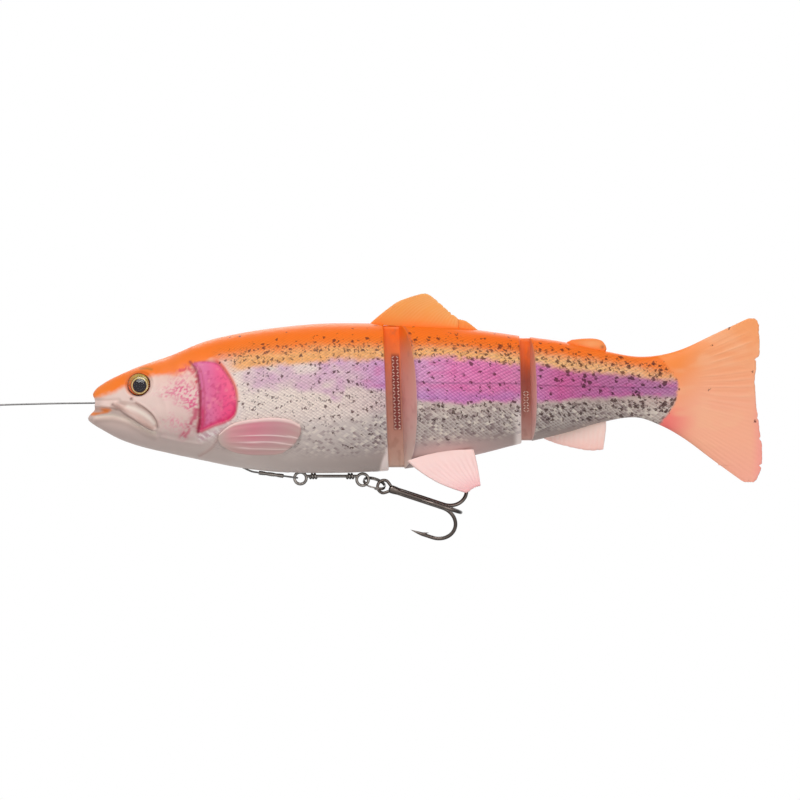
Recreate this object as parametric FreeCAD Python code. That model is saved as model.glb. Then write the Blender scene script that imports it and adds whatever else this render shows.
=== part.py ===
"""Three-section soft swimbait with its line rig, one STEP file per piece.

Millimetres.  The nose points to -X, the tail to +X, +Z is up, and the fish's
left flank faces -Y.  The origin is the front mouth of the line tube.
"""
import FreeCAD, Part
import math
import os

Vector = FreeCAD.Vector

# ---------------------------------------------------------------- fish body
body_length = 250.0        # lower jaw to tail fin
body_depth = 56.0          # back to belly at the deepest section
body_width = 33.6          # flank to flank at the widest section
side_fullness = 0.12       # how much fuller than an ellipse a section is

# Nominal outline: station, back, belly, half width, at the sizes above.
NOMINAL_LENGTH = 250.0
NOMINAL_DEPTH = 56.0
NOMINAL_WIDTH = 33.6
OUTLINE = [
    (-3.4, -2.4, -6.6, 1.6),
    (-1.8, 3.6, -7.9, 3.6),
    (2.0, 7.2, -10.2, 5.6),
    (8.0, 10.4, -13.4, 7.8),
    (16.0, 13.8, -16.2, 9.9),
    (27.5, 17.8, -18.9, 12.2),
    (39.4, 22.7, -21.4, 13.9),
    (51.3, 25.6, -23.8, 15.1),
    (66.0, 27.9, -25.6, 16.2),
    (84.0, 29.5, -26.2, 16.8),
    (104.8, 29.5, -25.4, 16.4),
    (122.0, 29.0, -23.2, 15.2),
    (140.0, 27.2, -19.4, 13.0),
    (156.0, 25.0, -15.4, 10.8),
    (172.0, 22.8, -11.6, 8.4),
    (188.0, 19.4, -7.0, 5.9),
    (200.0, 17.3, -5.4, 4.3),
    (209.0, 17.9, -8.3, 3.5),
    (217.7, 20.3, -13.2, 2.9),
]
TAIL_OUTLINE = [
    (205.0, 17.4, -6.6, 3.8),
    (211.0, 18.1, -9.4, 3.3),
    (217.7, 20.3, -13.2, 2.7),
    (229.0, 25.6, -21.6, 1.7),
    (241.5, 31.4, -30.6, 1.0),
    (248.0, 34.3, -35.2, 0.8),
]

# ------------------------------------------------------------------- joints
front_joint_x = 110.0      # hinge line of the front joint at the tube's height
front_joint_lean = 2.1     # degrees, top of the joint leans to the nose
front_web_length = 5.8     # flexible web between the two sections
front_facet_angle = 17.2   # degrees, how far the rear side's facets slant back
rear_joint_x = 158.9
rear_joint_lean = 1.1
rear_web_length = 3.8
rear_facet_angle = 13.3
web_thickness = 2.8        # web with the mesh inside it
web_inset = 1.2            # web edges stay inside the back and belly
mesh_thickness = 0.5       # woven harness sheet
mesh_height = 22.0
mesh_cover = 2.0           # plastic over the sheet's edges in the tail
fin_knuckle_x = 212.5      # bending line of the tail fin
knuckle_clearance = 0.3
slit_clearance = 0.4       # under the dorsal fin, where it spans the joint

# --------------------------------------------------------------------- fins
flap_thickness = 1.8       # dorsal, anal and adipose fins
relief_height = 1.0        # pectoral fins lie on the flank
pelvic_thickness = 1.2
pelvic_root_y = 8.3
pelvic_root_z = -18.6
pelvic_flare = 25.0        # degrees outward from straight down

# ---------------------------------------------------------------------- eye
eye_x = 15.5
eye_z = 6.9
eye_radius = 4.2
iris_depth = 1.6
lens_height = 1.1
eye_forward_turn = 12.0    # degrees, each eye looks slightly to the nose

# ------------------------------------------------------------- line and rig
line_radius = 0.34
leg_spacing = 0.39         # half distance between a loop's legs at its crimp
exit_run = 3.4             # line's run under the belly, before the crimp
exit_drop = 1.55
crimp_lead = 2.4           # straight line into the crimp
rear_loop_length = 3.9
far_loop_length = 3.3
tube_bore_radius = 0.8
tube_wall = 0.6
crimp_radius = 0.75
crimp_length = 9.6
loop_radius = 1.15
bar_wire_radius = 0.52
bar_eye_radius = 2.15      # centre line of each end eye
bar_wrap_radius = 1.25
bar_wrap_length = 3.1
bar_wrap_setback = 1.15    # from an eye's edge to its wrap, in front
rear_wrap_setback = 0.85
bar_span = 23.1            # between the eyes' centres
bar_rise = 0.75            # the bar leaves each eye above its centre
rear_eye_drop = 1.3
eye_hang_x = 1.1           # front eye's centre behind the loop's tip
eye_hang_z = 0.1
ring_hang_x = 0.5          # split ring's wire behind the rear eye's centre
ring_hang_z = 0.1
hook_hang_x = 0.3          # hook eye's centre ahead of the ring's rear wire
hook_hang_z = 0.1
ring_radius = 4.1          # centre line of the split ring
ring_wire_width = 0.7
ring_thickness = 1.3
ring_slope_angle = 18.5    # degrees below level
ring_tilt_angle = 67.0     # degrees from facing the flank
hook_wire_radius = 0.72
hook_eye_radius = 2.4
hook_eye_wire = 0.58
hook_shank_length = 23.1
hook_bend_radius = 6.8
hook_spear_length = 8.6
hook_point_length = 5.0
hook_shank_slope = 18.3    # degrees below level
hook_twist = 30.0          # degrees the branches are turned about the shank
barb_foot_radius = 0.5
barb_tip_radius = 0.08
point_tip_radius = 0.06
groove_radius = 2.35       # belly groove that clears the wire bar
groove_length = 31.0
groove_lead = 4.0          # the groove starts this far ahead of the bar's eye
swivel_barrel_radius = 1.7
swivel_barrel_length = 6.8
swivel_wall = 0.45
swivel_stem_radius = 0.5
swivel_clearance = 0.05
swivel_neck = 1.3          # from an eye's centre line to the barrel
swivel_head_gap = 0.3      # the stop head turns free of the barrel's wall
swivel_head_length = 0.7
swivel_hang = 0.55         # rear eye's centre past the loop's tip
swivel_eye_radius = 1.5
swivel_eye_wire = 0.4

# ------------------------------------------------------------ inner weights
front_weight_radius = 4.0
front_weight_length = 24.0
front_weight_x = 66.0
front_weight_z = -16.0
middle_weight_radius = 3.0
middle_weight_length = 16.0
middle_weight_x = 121.0
middle_weight_z = -10.0
mesh_start_x = 58.0        # harness sheet, from the head's shoulder
mesh_end_x = 192.0         # to the tail's wrist
mesh_low_z = -4.5
tail_mesh_low_z = -1.0
mesh_gap = 0.4             # the sheet stops short of the joint faces

LONG = body_length / NOMINAL_LENGTH
DEEP = body_depth / NOMINAL_DEPTH
WIDE = body_width / NOMINAL_WIDTH
FAR = 80.0                 # half size of cutting blocks

os.makedirs("parts", exist_ok=True)


def save(shape, node):
    """Write one node as a STEP file, after checking its solids."""
    solids = len(shape.Solids)
    if not shape.isValid() or solids == 0 or shape.Volume <= 0:
        raise ValueError(node + " is not a sound solid")
    print(f"{node:24s} solids {solids}  volume {shape.Volume:10.2f} mm3")
    shape.exportStep("parts/" + node + ".step")


# ------------------------------------------------------------ body surfaces
def body_row(x):
    """Back, belly and half width at a station, by cubic Hermite between the outline's rows."""
    rows = OUTLINE
    nominal = x / LONG
    i = 0
    while i < len(rows) - 2 and nominal > rows[i + 1][0]:
        i += 1
    a = rows[i]
    b = rows[i + 1]
    before = rows[max(i - 1, 0)]
    after = rows[min(i + 2, len(rows) - 1)]
    step = b[0] - a[0]
    t = (nominal - a[0]) / step
    values = []
    for k in (1, 2, 3):
        slope_a = (b[k] - before[k]) / (b[0] - before[0]) * step
        slope_b = (after[k] - a[k]) / (after[0] - a[0]) * step
        values.append(
            (2 * t**3 - 3 * t**2 + 1) * a[k]
            + (t**3 - 2 * t**2 + t) * slope_a
            + (3 * t**2 - 2 * t**3) * b[k]
            + (t**3 - t**2) * slope_b
        )
    return values[0] * DEEP, values[1] * DEEP, values[2] * WIDE


def section_wire(x, back, belly, half_width, grow):
    """Closed smooth section: a full ellipse, widened near its shoulders."""
    middle = (back + belly) / 2
    half_height = (back - belly) / 2 + grow
    reach = half_width + grow
    count = 20
    points = []
    for k in range(count):
        t = 2 * math.pi * k / count
        y = reach * math.sin(t) * (1 + side_fullness * math.cos(t) ** 2)
        points.append(Vector(x, y, middle + half_height * math.cos(t)))
    curve = Part.BSplineCurve()
    curve.interpolate(Points=points, PeriodicFlag=True)
    return Part.Wire([curve.toShape()])


def loft_body(rows, grow=0.0):
    """Smooth solid through the sections of an outline."""
    wires = []
    for x, back, belly, half_width in rows:
        wires.append(section_wire(x * LONG, back * DEEP, belly * DEEP, half_width * WIDE, grow))
    return Part.makeLoft(wires, True, False, False, 5)


def plate(points, thickness):
    """Flat plate in the fish's middle plane, from an outline of (x, z)."""
    corners = [Vector(x * LONG, -thickness / 2, z * DEEP) for x, z in points]
    face = Part.Face(Part.makePolygon(corners + [corners[0]]))
    return face.extrude(Vector(0, thickness, 0))


def leaning(x, z, lean):
    """Station of a leaning joint line at height z."""
    return x - math.tan(math.radians(lean)) * z


def block_between(front, rear):
    """Slab across the fish between two leaning planes, each (x, lean) or None."""
    low_front = leaning(front[0], -FAR, front[1])
    high_front = leaning(front[0], FAR, front[1])
    low_rear = leaning(rear[0], -FAR, rear[1])
    high_rear = leaning(rear[0], FAR, rear[1])
    corners = [
        Vector(low_front, -FAR, -FAR),
        Vector(low_rear, -FAR, -FAR),
        Vector(high_rear, -FAR, FAR),
        Vector(high_front, -FAR, FAR),
    ]
    face = Part.Face(Part.makePolygon(corners + [corners[0]]))
    return face.extrude(Vector(0, 2 * FAR, 0))


def wedge_block(x, lean, facet_angle, rear_x):
    """Slab whose front is a wedge: flat across the web, then slanting back on both sides."""
    flat = web_thickness / 2
    slant = math.tan(math.radians(facet_angle)) * (FAR - flat)
    shift = math.tan(math.radians(lean)) * FAR
    plan = [(x, -flat), (x, flat), (x + slant, FAR), (rear_x, FAR), (rear_x, -FAR), (x + slant, -FAR)]
    corners = [Vector(px + shift, py, -FAR) for px, py in plan]
    face = Part.Face(Part.makePolygon(corners + [corners[0]]))
    return face.extrude(Vector(-2 * shift, 0, 2 * FAR))


# -------------------------------------------------------------- wire shapes
def rounded_path(points):
    """Straight runs joined by tangent arcs, each as large as its two runs allow."""
    edges = []
    start = points[0]
    for i in range(1, len(points) - 1):
        corner = points[i]
        back = points[i - 1] - corner
        ahead = points[i + 1] - corner
        reach = 0.45 * min(back.Length, ahead.Length)
        half_turn = (math.pi - back.getAngle(ahead)) / 2
        radius = reach / math.tan(half_turn)
        print(f"  arc radius {radius:8.1f} mm")
        back.normalize()
        ahead.normalize()
        entry = corner + back * reach
        leave = corner + ahead * reach
        bisector = back + ahead
        bisector.normalize()
        centre = corner + bisector * (radius / math.cos(half_turn))
        middle = centre - bisector * radius
        edges.append(Part.LineSegment(start, entry).toShape())
        edges.append(Part.Arc(entry, middle, leave).toShape())
        start = leave
    edges.append(Part.LineSegment(start, points[-1]).toShape())
    return Part.Wire(edges)


def round_tube(path, radius):
    """Round solid along a path that starts with a straight run."""
    first = path.Edges[0]
    at = first.valueAt(first.FirstParameter)
    along = first.tangentAt(first.FirstParameter)
    ring = Part.Wire([Part.Circle(at, along, radius).toShape()])
    return path.makePipeShell([ring], True, True)


def rod(start, end, radius):
    """Plain round rod between two points."""
    along = end - start
    return Part.makeCylinder(radius, along.Length, start, along)


def eye_ring(centre, radius, wire_radius):
    """Closed round eye in the fish's middle plane."""
    return Part.makeTorus(radius, wire_radius, centre, Vector(0, 1, 0))


def line_loop(start, along, length):
    """Loop of line that leaves a crimp, turns round an eye and comes back beside itself."""
    across = Vector(0, 1, 0)
    narrow = leg_spacing
    spread_at = length * 0.45
    sides = []
    for sign in (1, -1):
        foot = start + across * (sign * narrow)
        shoulder = start + along * spread_at + across * (sign * loop_radius)
        top = start + along * length + across * (sign * loop_radius)
        sides.append((foot, shoulder, top))
    tip = start + along * (length + loop_radius)
    left = sides[0]
    right = sides[1]
    edges = [
        Part.LineSegment(left[0], left[1]).toShape(),
        Part.LineSegment(left[1], left[2]).toShape(),
        Part.Arc(left[2], tip, right[2]).toShape(),
        Part.LineSegment(right[2], right[1]).toShape(),
        Part.LineSegment(right[1], right[0]).toShape(),
    ]
    path = Part.Wire(edges)
    heading = left[1] - left[0]
    ring = Part.Wire([Part.Circle(left[0], heading, line_radius).toShape()])
    return path.makePipeShell([ring], True, True, 2)


# ------------------------------------------------------------ whole fish form
form = loft_body(OUTLINE)
form_grown = loft_body(OUTLINE, relief_height)
tail_form = loft_body(TAIL_OUTLINE)

front_x = front_joint_x * LONG
rear_x = rear_joint_x * LONG
head_end = (front_x - front_web_length / 2, front_joint_lean)
middle_start = front_x + front_web_length / 2
middle_end = (rear_x - rear_web_length / 2, rear_joint_lean)
tail_start = rear_x + rear_web_length / 2
knuckle_x = fin_knuckle_x * LONG
knuckle_radius = body_row(knuckle_x)[2]

# Line route inside the head: mouth, down through the throat, out of the belly.
tube_mouth = Vector(-1.0 * LONG, 0, 0)
throat = Vector(14.0 * LONG, 0, -1.6 * DEEP)
chest = Vector(38.0 * LONG, 0, -15.4 * DEEP)
belly_exit = Vector(53.8 * LONG, 0, -24.0 * DEEP)
crimp_slope = math.radians(-7.7)
crimp_along = Vector(math.cos(crimp_slope), 0, math.sin(crimp_slope))
below_belly = belly_exit + Vector(exit_run, 0, -exit_drop)
crimp_front = below_belly + crimp_along * crimp_lead
crimp_rear = crimp_front + crimp_along * crimp_length

# Wire bar under the belly, hung on the line's rear loop.
loop_tip = crimp_rear + crimp_along * (rear_loop_length + loop_radius)
front_eye = loop_tip + Vector(eye_hang_x, 0, -eye_hang_z)
bar_z = front_eye.z + bar_rise
bar_start = Vector(front_eye.x + bar_eye_radius * 0.9, 0, bar_z)
rear_eye = Vector(front_eye.x + bar_span, 0, bar_z - rear_eye_drop)
bar_end = Vector(rear_eye.x - bar_eye_radius * 0.8, 0, bar_z)

# Split ring from the bar's rear eye to the hook's eye.
ring_slope = math.radians(ring_slope_angle)
ring_along = Vector(math.cos(ring_slope), 0, -math.sin(ring_slope))
ring_front = rear_eye + Vector(ring_hang_x, 0, -ring_hang_z)
ring_centre = ring_front + ring_along * ring_radius
ring_rear = ring_centre + ring_along * ring_radius
hook_eye = ring_rear + Vector(-hook_hang_x, 0, hook_hang_z)


# ------------------------------------------------------------- head section
MOUTH = [(-5.0, 1.2), (-0.2, 1.5), (0.2, -1.5), (-0.6, -3.0), (-5.0, -4.4)]
mouth_width = 3.6
tube_overrun = 5.0         # the tube is made long, then trimmed flush with the belly
past_belly = belly_exit - chest
past_belly = belly_exit + past_belly * (tube_overrun / past_belly.Length)
tube_path = rounded_path([tube_mouth, throat, chest, past_belly])
tube_outside = round_tube(tube_path, tube_bore_radius + tube_wall)
tube_inside = round_tube(tube_path, tube_bore_radius)
line_tube = tube_outside.cut(tube_inside)


def weight(start_x, length, radius, z):
    """Round-ended slug that lies along the fish."""
    start = Vector(start_x, 0, z)
    body = Part.makeCylinder(radius, length, start, Vector(1, 0, 0))
    for x in (start_x, start_x + length):
        body = body.fuse(Part.makeSphere(radius, Vector(x, 0, z)))
    return body.removeSplitter()


def mesh_sheet(x0, x1, z0):
    """Strip of woven harness in the fish's middle plane."""
    return Part.makeBox(x1 - x0, mesh_thickness, mesh_height, Vector(x0, -mesh_thickness / 2, z0))


weight_front = weight(
    front_weight_x * LONG, front_weight_length, front_weight_radius, front_weight_z * DEEP
)
weight_middle = weight(
    middle_weight_x * LONG, middle_weight_length, middle_weight_radius, middle_weight_z * DEEP
)
mesh_low = mesh_low_z * DEEP
head_face_low = leaning(head_end[0], mesh_low, head_end[1])
head_face_high = leaning(head_end[0], mesh_low + mesh_height, head_end[1])
mesh_front = mesh_sheet(mesh_start_x * LONG, min(head_face_low, head_face_high), mesh_low)
mesh_middle = mesh_sheet(middle_start + mesh_gap, middle_end[0] - mesh_gap, mesh_low)
mesh_tail = mesh_sheet(tail_start + mesh_gap, mesh_end_x * LONG, tail_mesh_low_z * DEEP)
mesh_tail = mesh_tail.common(loft_body(OUTLINE, -mesh_cover))


def eye_place(side):
    """Eye's centre on the skin and the way it looks; side is -1 for the left flank."""
    x = eye_x * LONG
    z = eye_z * DEEP
    back, belly, half_width = body_row(x)
    middle = (back + belly) / 2
    share = (z - middle) / ((back - belly) / 2)
    y = half_width * math.sqrt(1 - share**2) * (1 + side_fullness * share**2)
    turn = math.radians(eye_forward_turn)
    look = Vector(-math.sin(turn), side * math.cos(turn), 0.22)
    look.normalize()
    return Vector(x, side * y, z), look


def eye_pieces(side):
    """Iris disc set in the skin, and the clear dome over it."""
    skin, look = eye_place(side)
    base = skin - look * (iris_depth - 0.2)
    iris = Part.makeCylinder(eye_radius, iris_depth, base, look)
    rim = base + look * iris_depth
    dome_radius = (eye_radius**2 + lens_height**2) / (2 * lens_height)
    dome = Part.makeSphere(dome_radius, rim - look * (dome_radius - lens_height))
    lens = Part.makeCylinder(eye_radius, lens_height * 1.5, rim, look).common(dome)
    return iris, lens


head_section = form.common(block_between((-FAR, 0.0), head_end))
mouth_cut = plate(MOUTH, mouth_width)
groove = Part.makeCylinder(
    groove_radius, groove_length, Vector(front_eye.x - groove_lead, 0, bar_z), Vector(1, 0, 0)
)
head_section = head_section.cut(mouth_cut)
head_section = head_section.cut(tube_outside)
head_section = head_section.cut(groove)
head_section = head_section.cut(weight_front)
head_section = head_section.cut(mesh_front)
for side, name in ((-1, "left"), (1, "right")):
    iris, lens = eye_pieces(side)
    head_section = head_section.cut(iris)
    head_section = head_section.cut(lens)
    save(iris, "eye_iris_" + name)
    save(lens, "eye_lens_" + name)
save(head_section, "head_section")
save(line_tube.common(form).cut(mouth_cut), "line_tube")
save(weight_front, "front_weight")
save(mesh_front, "harness_mesh_front")

# --------------------------------------------------- dorsal fin over the joint
DORSAL = [
    (100.2, 29.0), (105.9, 33.7), (111.5, 37.7), (120.6, 40.7), (122.9, 40.8),
    (128.6, 35.7), (133.6, 31.4), (131.9, 28.3), (108.0, 29.2), (104.0, 27.0),
]
DORSAL_TIP = [(134.6, 26.5), (134.9, 31.0), (137.1, 30.4), (139.6, 28.0), (141.0, 26.5)]
OVERHANG = [(104.5, FAR), (104.5, 29.3), (133.9, 28.2), (133.9, FAR)]
overhang = plate(OVERHANG, 2 * FAR)
head_block = block_between((-FAR, 0.0), head_end)
dorsal_fin = plate(DORSAL, flap_thickness).cut(form.common(head_block)).common(overhang.fuse(head_block))
save(dorsal_fin, "dorsal_fin")

# ----------------------------------------------------------- middle section
middle_block = wedge_block(middle_start, front_joint_lean, front_facet_angle, 2 * FAR + rear_x)
middle_block = middle_block.common(block_between((0.0, 0.0), middle_end))
middle_section = form.common(middle_block)
under_fin = overhang.copy()
under_fin.translate(Vector(0, 0, -slit_clearance))
middle_section = middle_section.cut(under_fin)
middle_skin = middle_section
middle_section = middle_section.cut(weight_middle)
middle_section = middle_section.cut(mesh_middle)
save(middle_section, "middle_section")
save(plate(DORSAL_TIP, flap_thickness * 0.7).cut(form), "dorsal_fin_tip")
save(weight_middle, "middle_weight")
save(mesh_middle.common(middle_skin), "harness_mesh_middle")

# ------------------------------------------------------------- tail section
tail_block = wedge_block(tail_start, rear_joint_lean, rear_facet_angle, 2 * FAR + rear_x)
tail_block = tail_block.common(block_between((0.0, 0.0), (knuckle_x, 0.0)))
socket = Part.makeCylinder(knuckle_radius + knuckle_clearance, 2 * FAR, Vector(knuckle_x, 0, -FAR))
tail_section = form.common(tail_block).cut(socket)
save(tail_section.cut(mesh_tail), "tail_section")
save(mesh_tail, "harness_mesh_tail")

ADIPOSE = [
    (173.0, 20.5), (176.0, 23.5), (184.5, 23.9), (187.6, 22.9), (188.8, 20.7), (188.8, 18.9), (186.0, 17.0),
]
ANAL = [
    (165.4, -10.0), (165.8, -13.4), (175.3, -16.5), (183.2, -17.8),
    (187.3, -17.5), (188.8, -9.1), (189.6, -5.0), (180.0, -6.0),
]
save(plate(ADIPOSE, flap_thickness).cut(form), "adipose_fin")
save(plate(ANAL, flap_thickness).cut(form), "anal_fin")

# ----------------------------------------------------------------- tail fin
TRAILING = [
    (200.0, 45.0), (243.6, 31.5), (244.8, 29.6), (245.5, 17.9), (244.3, 15.5),
    (243.6, 7.5), (244.2, -1.2), (245.2, -7.3), (246.1, -15.3), (246.6, -20.9),
    (246.1, -25.2), (244.2, -28.9), (242.4, -30.4), (200.0, -45.0),
]
fin_blade = tail_form.common(plate(TRAILING, 2 * FAR))
knuckle = Part.makeCylinder(knuckle_radius, 2 * FAR, Vector(knuckle_x, 0, -FAR))
behind_knuckle = block_between((knuckle_x, 0.0), (2 * FAR + knuckle_x, 0.0)).fuse(knuckle)
save(fin_blade.common(behind_knuckle), "tail_fin")


# ---------------------------------------------------------------- side fins
PECTORAL = [
    (45.7, -11.6), (51.2, -7.3), (59.2, -5.8), (66.6, -5.4), (75.2, -7.6),
    (74.9, -11.9), (69.7, -18.1), (57.4, -18.4), (46.9, -16.5),
]
PELVIC = [
    (115.2, -21.8), (120.0, -16.0), (140.5, -15.5), (142.2, -30.8), (138.3, -31.5),
    (136.9, -33.2), (126.2, -29.3), (117.7, -24.0),
]


def pectoral(side):
    """Fin that lies on the flank, as thick as the relief."""
    corners = [Vector(x * LONG, side * 4.0, z * DEEP) for x, z in PECTORAL]
    face = Part.Face(Part.makePolygon(corners + [corners[0]]))
    stamp = face.extrude(Vector(0, side * FAR, 0))
    return stamp.common(form_grown).cut(form)


def pelvic(side):
    """Fin that hangs from the belly and flares outward."""
    flare = math.radians(pelvic_flare)
    corners = []
    for x, z in PELVIC:
        out = pelvic_root_y * WIDE + (pelvic_root_z - z) * DEEP * math.tan(flare)
        corners.append(Vector(x * LONG, side * out, z * DEEP))
    face = Part.Face(Part.makePolygon(corners + [corners[0]]))
    normal = Vector(0, side * math.cos(flare), math.sin(flare))
    fin = face.extrude(normal * pelvic_thickness)
    fin.translate(normal * (-pelvic_thickness / 2))
    return fin.cut(form)


for side, name in ((-1, "left"), (1, "right")):
    save(pectoral(side), "pectoral_fin_" + name)
    save(pelvic(side), "pelvic_fin_" + name)


# ------------------------------------------------------------- hinge webs
def web(x, length, lean):
    """Flexible web in the middle plane that joins two sections."""
    slab = block_between((x - length / 2, lean), (x + length / 2, lean))
    sheet = Part.makeBox(2 * FAR, web_thickness, 2 * FAR, Vector(x - FAR, -web_thickness / 2, -FAR))
    return loft_body(OUTLINE, -web_inset).common(slab).common(sheet)


save(web(front_x, front_web_length, front_joint_lean).cut(under_fin), "hinge_web_front")
save(web(rear_x, rear_web_length, rear_joint_lean), "hinge_web_rear")


# ----------------------------------------------------- line through the fish
leader = round_tube(
    rounded_path([tube_mouth, throat, chest, belly_exit, below_belly, crimp_front]), line_radius
)
save(leader, "leader_wire")
leader_crimp = rod(crimp_front, crimp_rear, crimp_radius)
save(leader_crimp, "leader_crimp")
save(line_loop(crimp_rear, crimp_along, rear_loop_length).cut(leader_crimp), "leader_loop")

# Free line ahead of the nose, pulled tight, and the swivel that it ends in.
LINE_ROUTE = [(-1.0, 0.0), (-12.0, -0.1), (-26.0, -0.4), (-41.0, -0.85)]
line_points = [Vector(x * LONG, 0, z) for x, z in LINE_ROUTE]
save(round_tube(rounded_path(line_points), line_radius), "nose_line")
line_end = line_points[-1]
ahead = Vector(-1, 0, 0)
far_crimp_end = line_end + ahead * crimp_length
line_crimp = rod(line_end, far_crimp_end, crimp_radius)
save(line_crimp, "line_crimp")
save(line_loop(far_crimp_end, ahead, far_loop_length).cut(line_crimp), "line_loop")
far_tip = far_crimp_end + ahead * (far_loop_length + loop_radius)
swivel_rear_eye = far_tip + ahead * swivel_hang


def swivel_eye(centre, along):
    """Eye with a stem and a stop head that sits inside the barrel."""
    eye = eye_ring(centre, swivel_eye_radius, swivel_eye_wire)
    stem_start = centre + along * swivel_eye_radius
    stem_end = stem_start + along * (swivel_neck + swivel_wall + swivel_head_gap)
    stem = rod(stem_start, stem_end, swivel_stem_radius)
    head = rod(stem_end, stem_end + along * swivel_head_length, swivel_stem_radius * 2)
    return eye.fuse(stem).fuse(head)


barrel_start = swivel_rear_eye + ahead * (swivel_eye_radius + swivel_neck)
barrel_end = barrel_start + ahead * swivel_barrel_length
barrel = rod(barrel_start, barrel_end, swivel_barrel_radius)
edges_to_round = [e for e in barrel.Edges if e.Curve.TypeId == "Part::GeomCircle"]
barrel = barrel.makeFillet(swivel_barrel_radius * 0.35, edges_to_round)
cavity = rod(
    barrel_start + ahead * swivel_wall, barrel_end - ahead * swivel_wall, swivel_barrel_radius - swivel_wall
)
stem_hole = rod(barrel_start - ahead, barrel_end + ahead, swivel_stem_radius + swivel_clearance)
save(barrel.cut(cavity).cut(stem_hole), "swivel_barrel")
swivel_front_eye = barrel_end + ahead * (swivel_eye_radius + swivel_neck)
save(swivel_eye(swivel_rear_eye, ahead), "swivel_rear_eye")
save(swivel_eye(swivel_front_eye, ahead * -1), "swivel_front_eye")

# ----------------------------------------------------------------- wire bar
bar = rod(bar_start, bar_end, bar_wire_radius)
bar = bar.fuse(eye_ring(front_eye, bar_eye_radius, bar_wire_radius))
bar = bar.fuse(eye_ring(rear_eye, bar_eye_radius, bar_wire_radius))
front_wrap_x = front_eye.x + bar_eye_radius + bar_wrap_setback
rear_wrap_x = rear_eye.x - bar_eye_radius - rear_wrap_setback - bar_wrap_length
for x in (front_wrap_x, rear_wrap_x):
    bar = bar.fuse(Part.makeCylinder(bar_wrap_radius, bar_wrap_length, Vector(x, 0, bar_z), Vector(1, 0, 0)))
save(bar, "stinger_bar")

# --------------------------------------------------------------- split ring
ring_tilt = math.radians(ring_tilt_angle)
ring_up = Vector(math.sin(ring_slope), 0, math.cos(ring_slope))
ring_axis = ring_up * math.sin(ring_tilt) - Vector(0, 1, 0) * math.cos(ring_tilt)
ring_foot = ring_centre - ring_axis * (ring_thickness / 2)
ring_outer = Part.makeCylinder(ring_radius + ring_wire_width / 2, ring_thickness, ring_foot, ring_axis)
ring_inner = Part.makeCylinder(ring_radius - ring_wire_width / 2, ring_thickness, ring_foot, ring_axis)
save(ring_outer.cut(ring_inner), "split_ring")


# -------------------------------------------------------------- treble hook
def hook_branch(angle):
    """One branch: shank wire, round bend, spear and tapered point, with its barb."""
    slope = math.radians(hook_shank_slope)
    along = Vector(math.cos(slope), 0, -math.sin(slope))
    up = Vector(math.sin(slope), 0, math.cos(slope))
    turn = math.radians(angle)
    out = up * math.cos(turn) + Vector(0, 1, 0) * math.sin(turn)
    inner = hook_wire_radius * 1.08
    wide = inner + 2 * hook_bend_radius

    def at(u, r):
        return hook_eye + along * u + out * r

    bend_start = hook_shank_length
    spear_end = bend_start - hook_spear_length + hook_point_length
    edges = [
        Part.LineSegment(at(hook_eye_radius, inner), at(bend_start, inner)).toShape(),
        Part.Arc(
            at(bend_start, inner),
            at(bend_start + hook_bend_radius, inner + hook_bend_radius),
            at(bend_start, wide),
        ).toShape(),
        Part.LineSegment(at(bend_start, wide), at(spear_end, wide)).toShape(),
    ]
    wire = round_tube(Part.Wire(edges), hook_wire_radius)
    point_start = at(spear_end, wide)
    point = Part.makeCone(hook_wire_radius, point_tip_radius, hook_point_length, point_start, along * -1)
    barb_foot = at(spear_end - 0.4, wide - hook_wire_radius * 0.5)
    barb_tip = at(spear_end + 1.5, wide - hook_wire_radius - 0.75)
    barb_run = barb_tip - barb_foot
    barb = Part.makeCone(barb_foot_radius, barb_tip_radius, barb_run.Length, barb_foot, barb_run)
    return wire.fuse(point).fuse(barb)


treble = eye_ring(hook_eye, hook_eye_radius, hook_eye_wire)
for k in range(3):
    treble = treble.fuse(hook_branch(hook_twist + 120 * k))
save(treble, "treble_hook")

for name, place in (
    ("bar hinge", loop_tip),
    ("ring hinge", ring_front),
    ("hook eye", hook_eye),
    ("swivel axis", barrel_start),
    ("swivel front eye", swivel_front_eye),
):
    print(f"{name}: {place.x:.3f} {place.y:.3f} {place.z:.3f}")
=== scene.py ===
import math

import bmesh
import bpy
import numpy as np
from mathutils import Matrix


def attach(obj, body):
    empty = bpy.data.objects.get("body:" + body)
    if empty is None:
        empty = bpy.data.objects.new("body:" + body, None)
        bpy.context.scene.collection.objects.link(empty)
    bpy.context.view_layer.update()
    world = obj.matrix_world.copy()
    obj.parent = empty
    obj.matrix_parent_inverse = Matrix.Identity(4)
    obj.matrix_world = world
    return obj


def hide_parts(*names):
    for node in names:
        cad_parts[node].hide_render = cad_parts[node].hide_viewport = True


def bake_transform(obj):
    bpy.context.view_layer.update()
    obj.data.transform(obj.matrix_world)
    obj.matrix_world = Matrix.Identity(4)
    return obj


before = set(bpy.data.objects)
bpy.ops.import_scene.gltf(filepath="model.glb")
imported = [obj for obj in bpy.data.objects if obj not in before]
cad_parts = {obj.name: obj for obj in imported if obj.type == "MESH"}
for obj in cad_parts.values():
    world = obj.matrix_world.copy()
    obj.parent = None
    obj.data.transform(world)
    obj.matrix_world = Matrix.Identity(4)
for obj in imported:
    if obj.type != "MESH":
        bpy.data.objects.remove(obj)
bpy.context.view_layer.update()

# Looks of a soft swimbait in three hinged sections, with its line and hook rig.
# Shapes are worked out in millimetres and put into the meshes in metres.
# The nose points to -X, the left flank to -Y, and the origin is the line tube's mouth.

MM = 0.001
SEAM_MERGE = 2e-6          # m, doubles closer than this are one vertex

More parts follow.
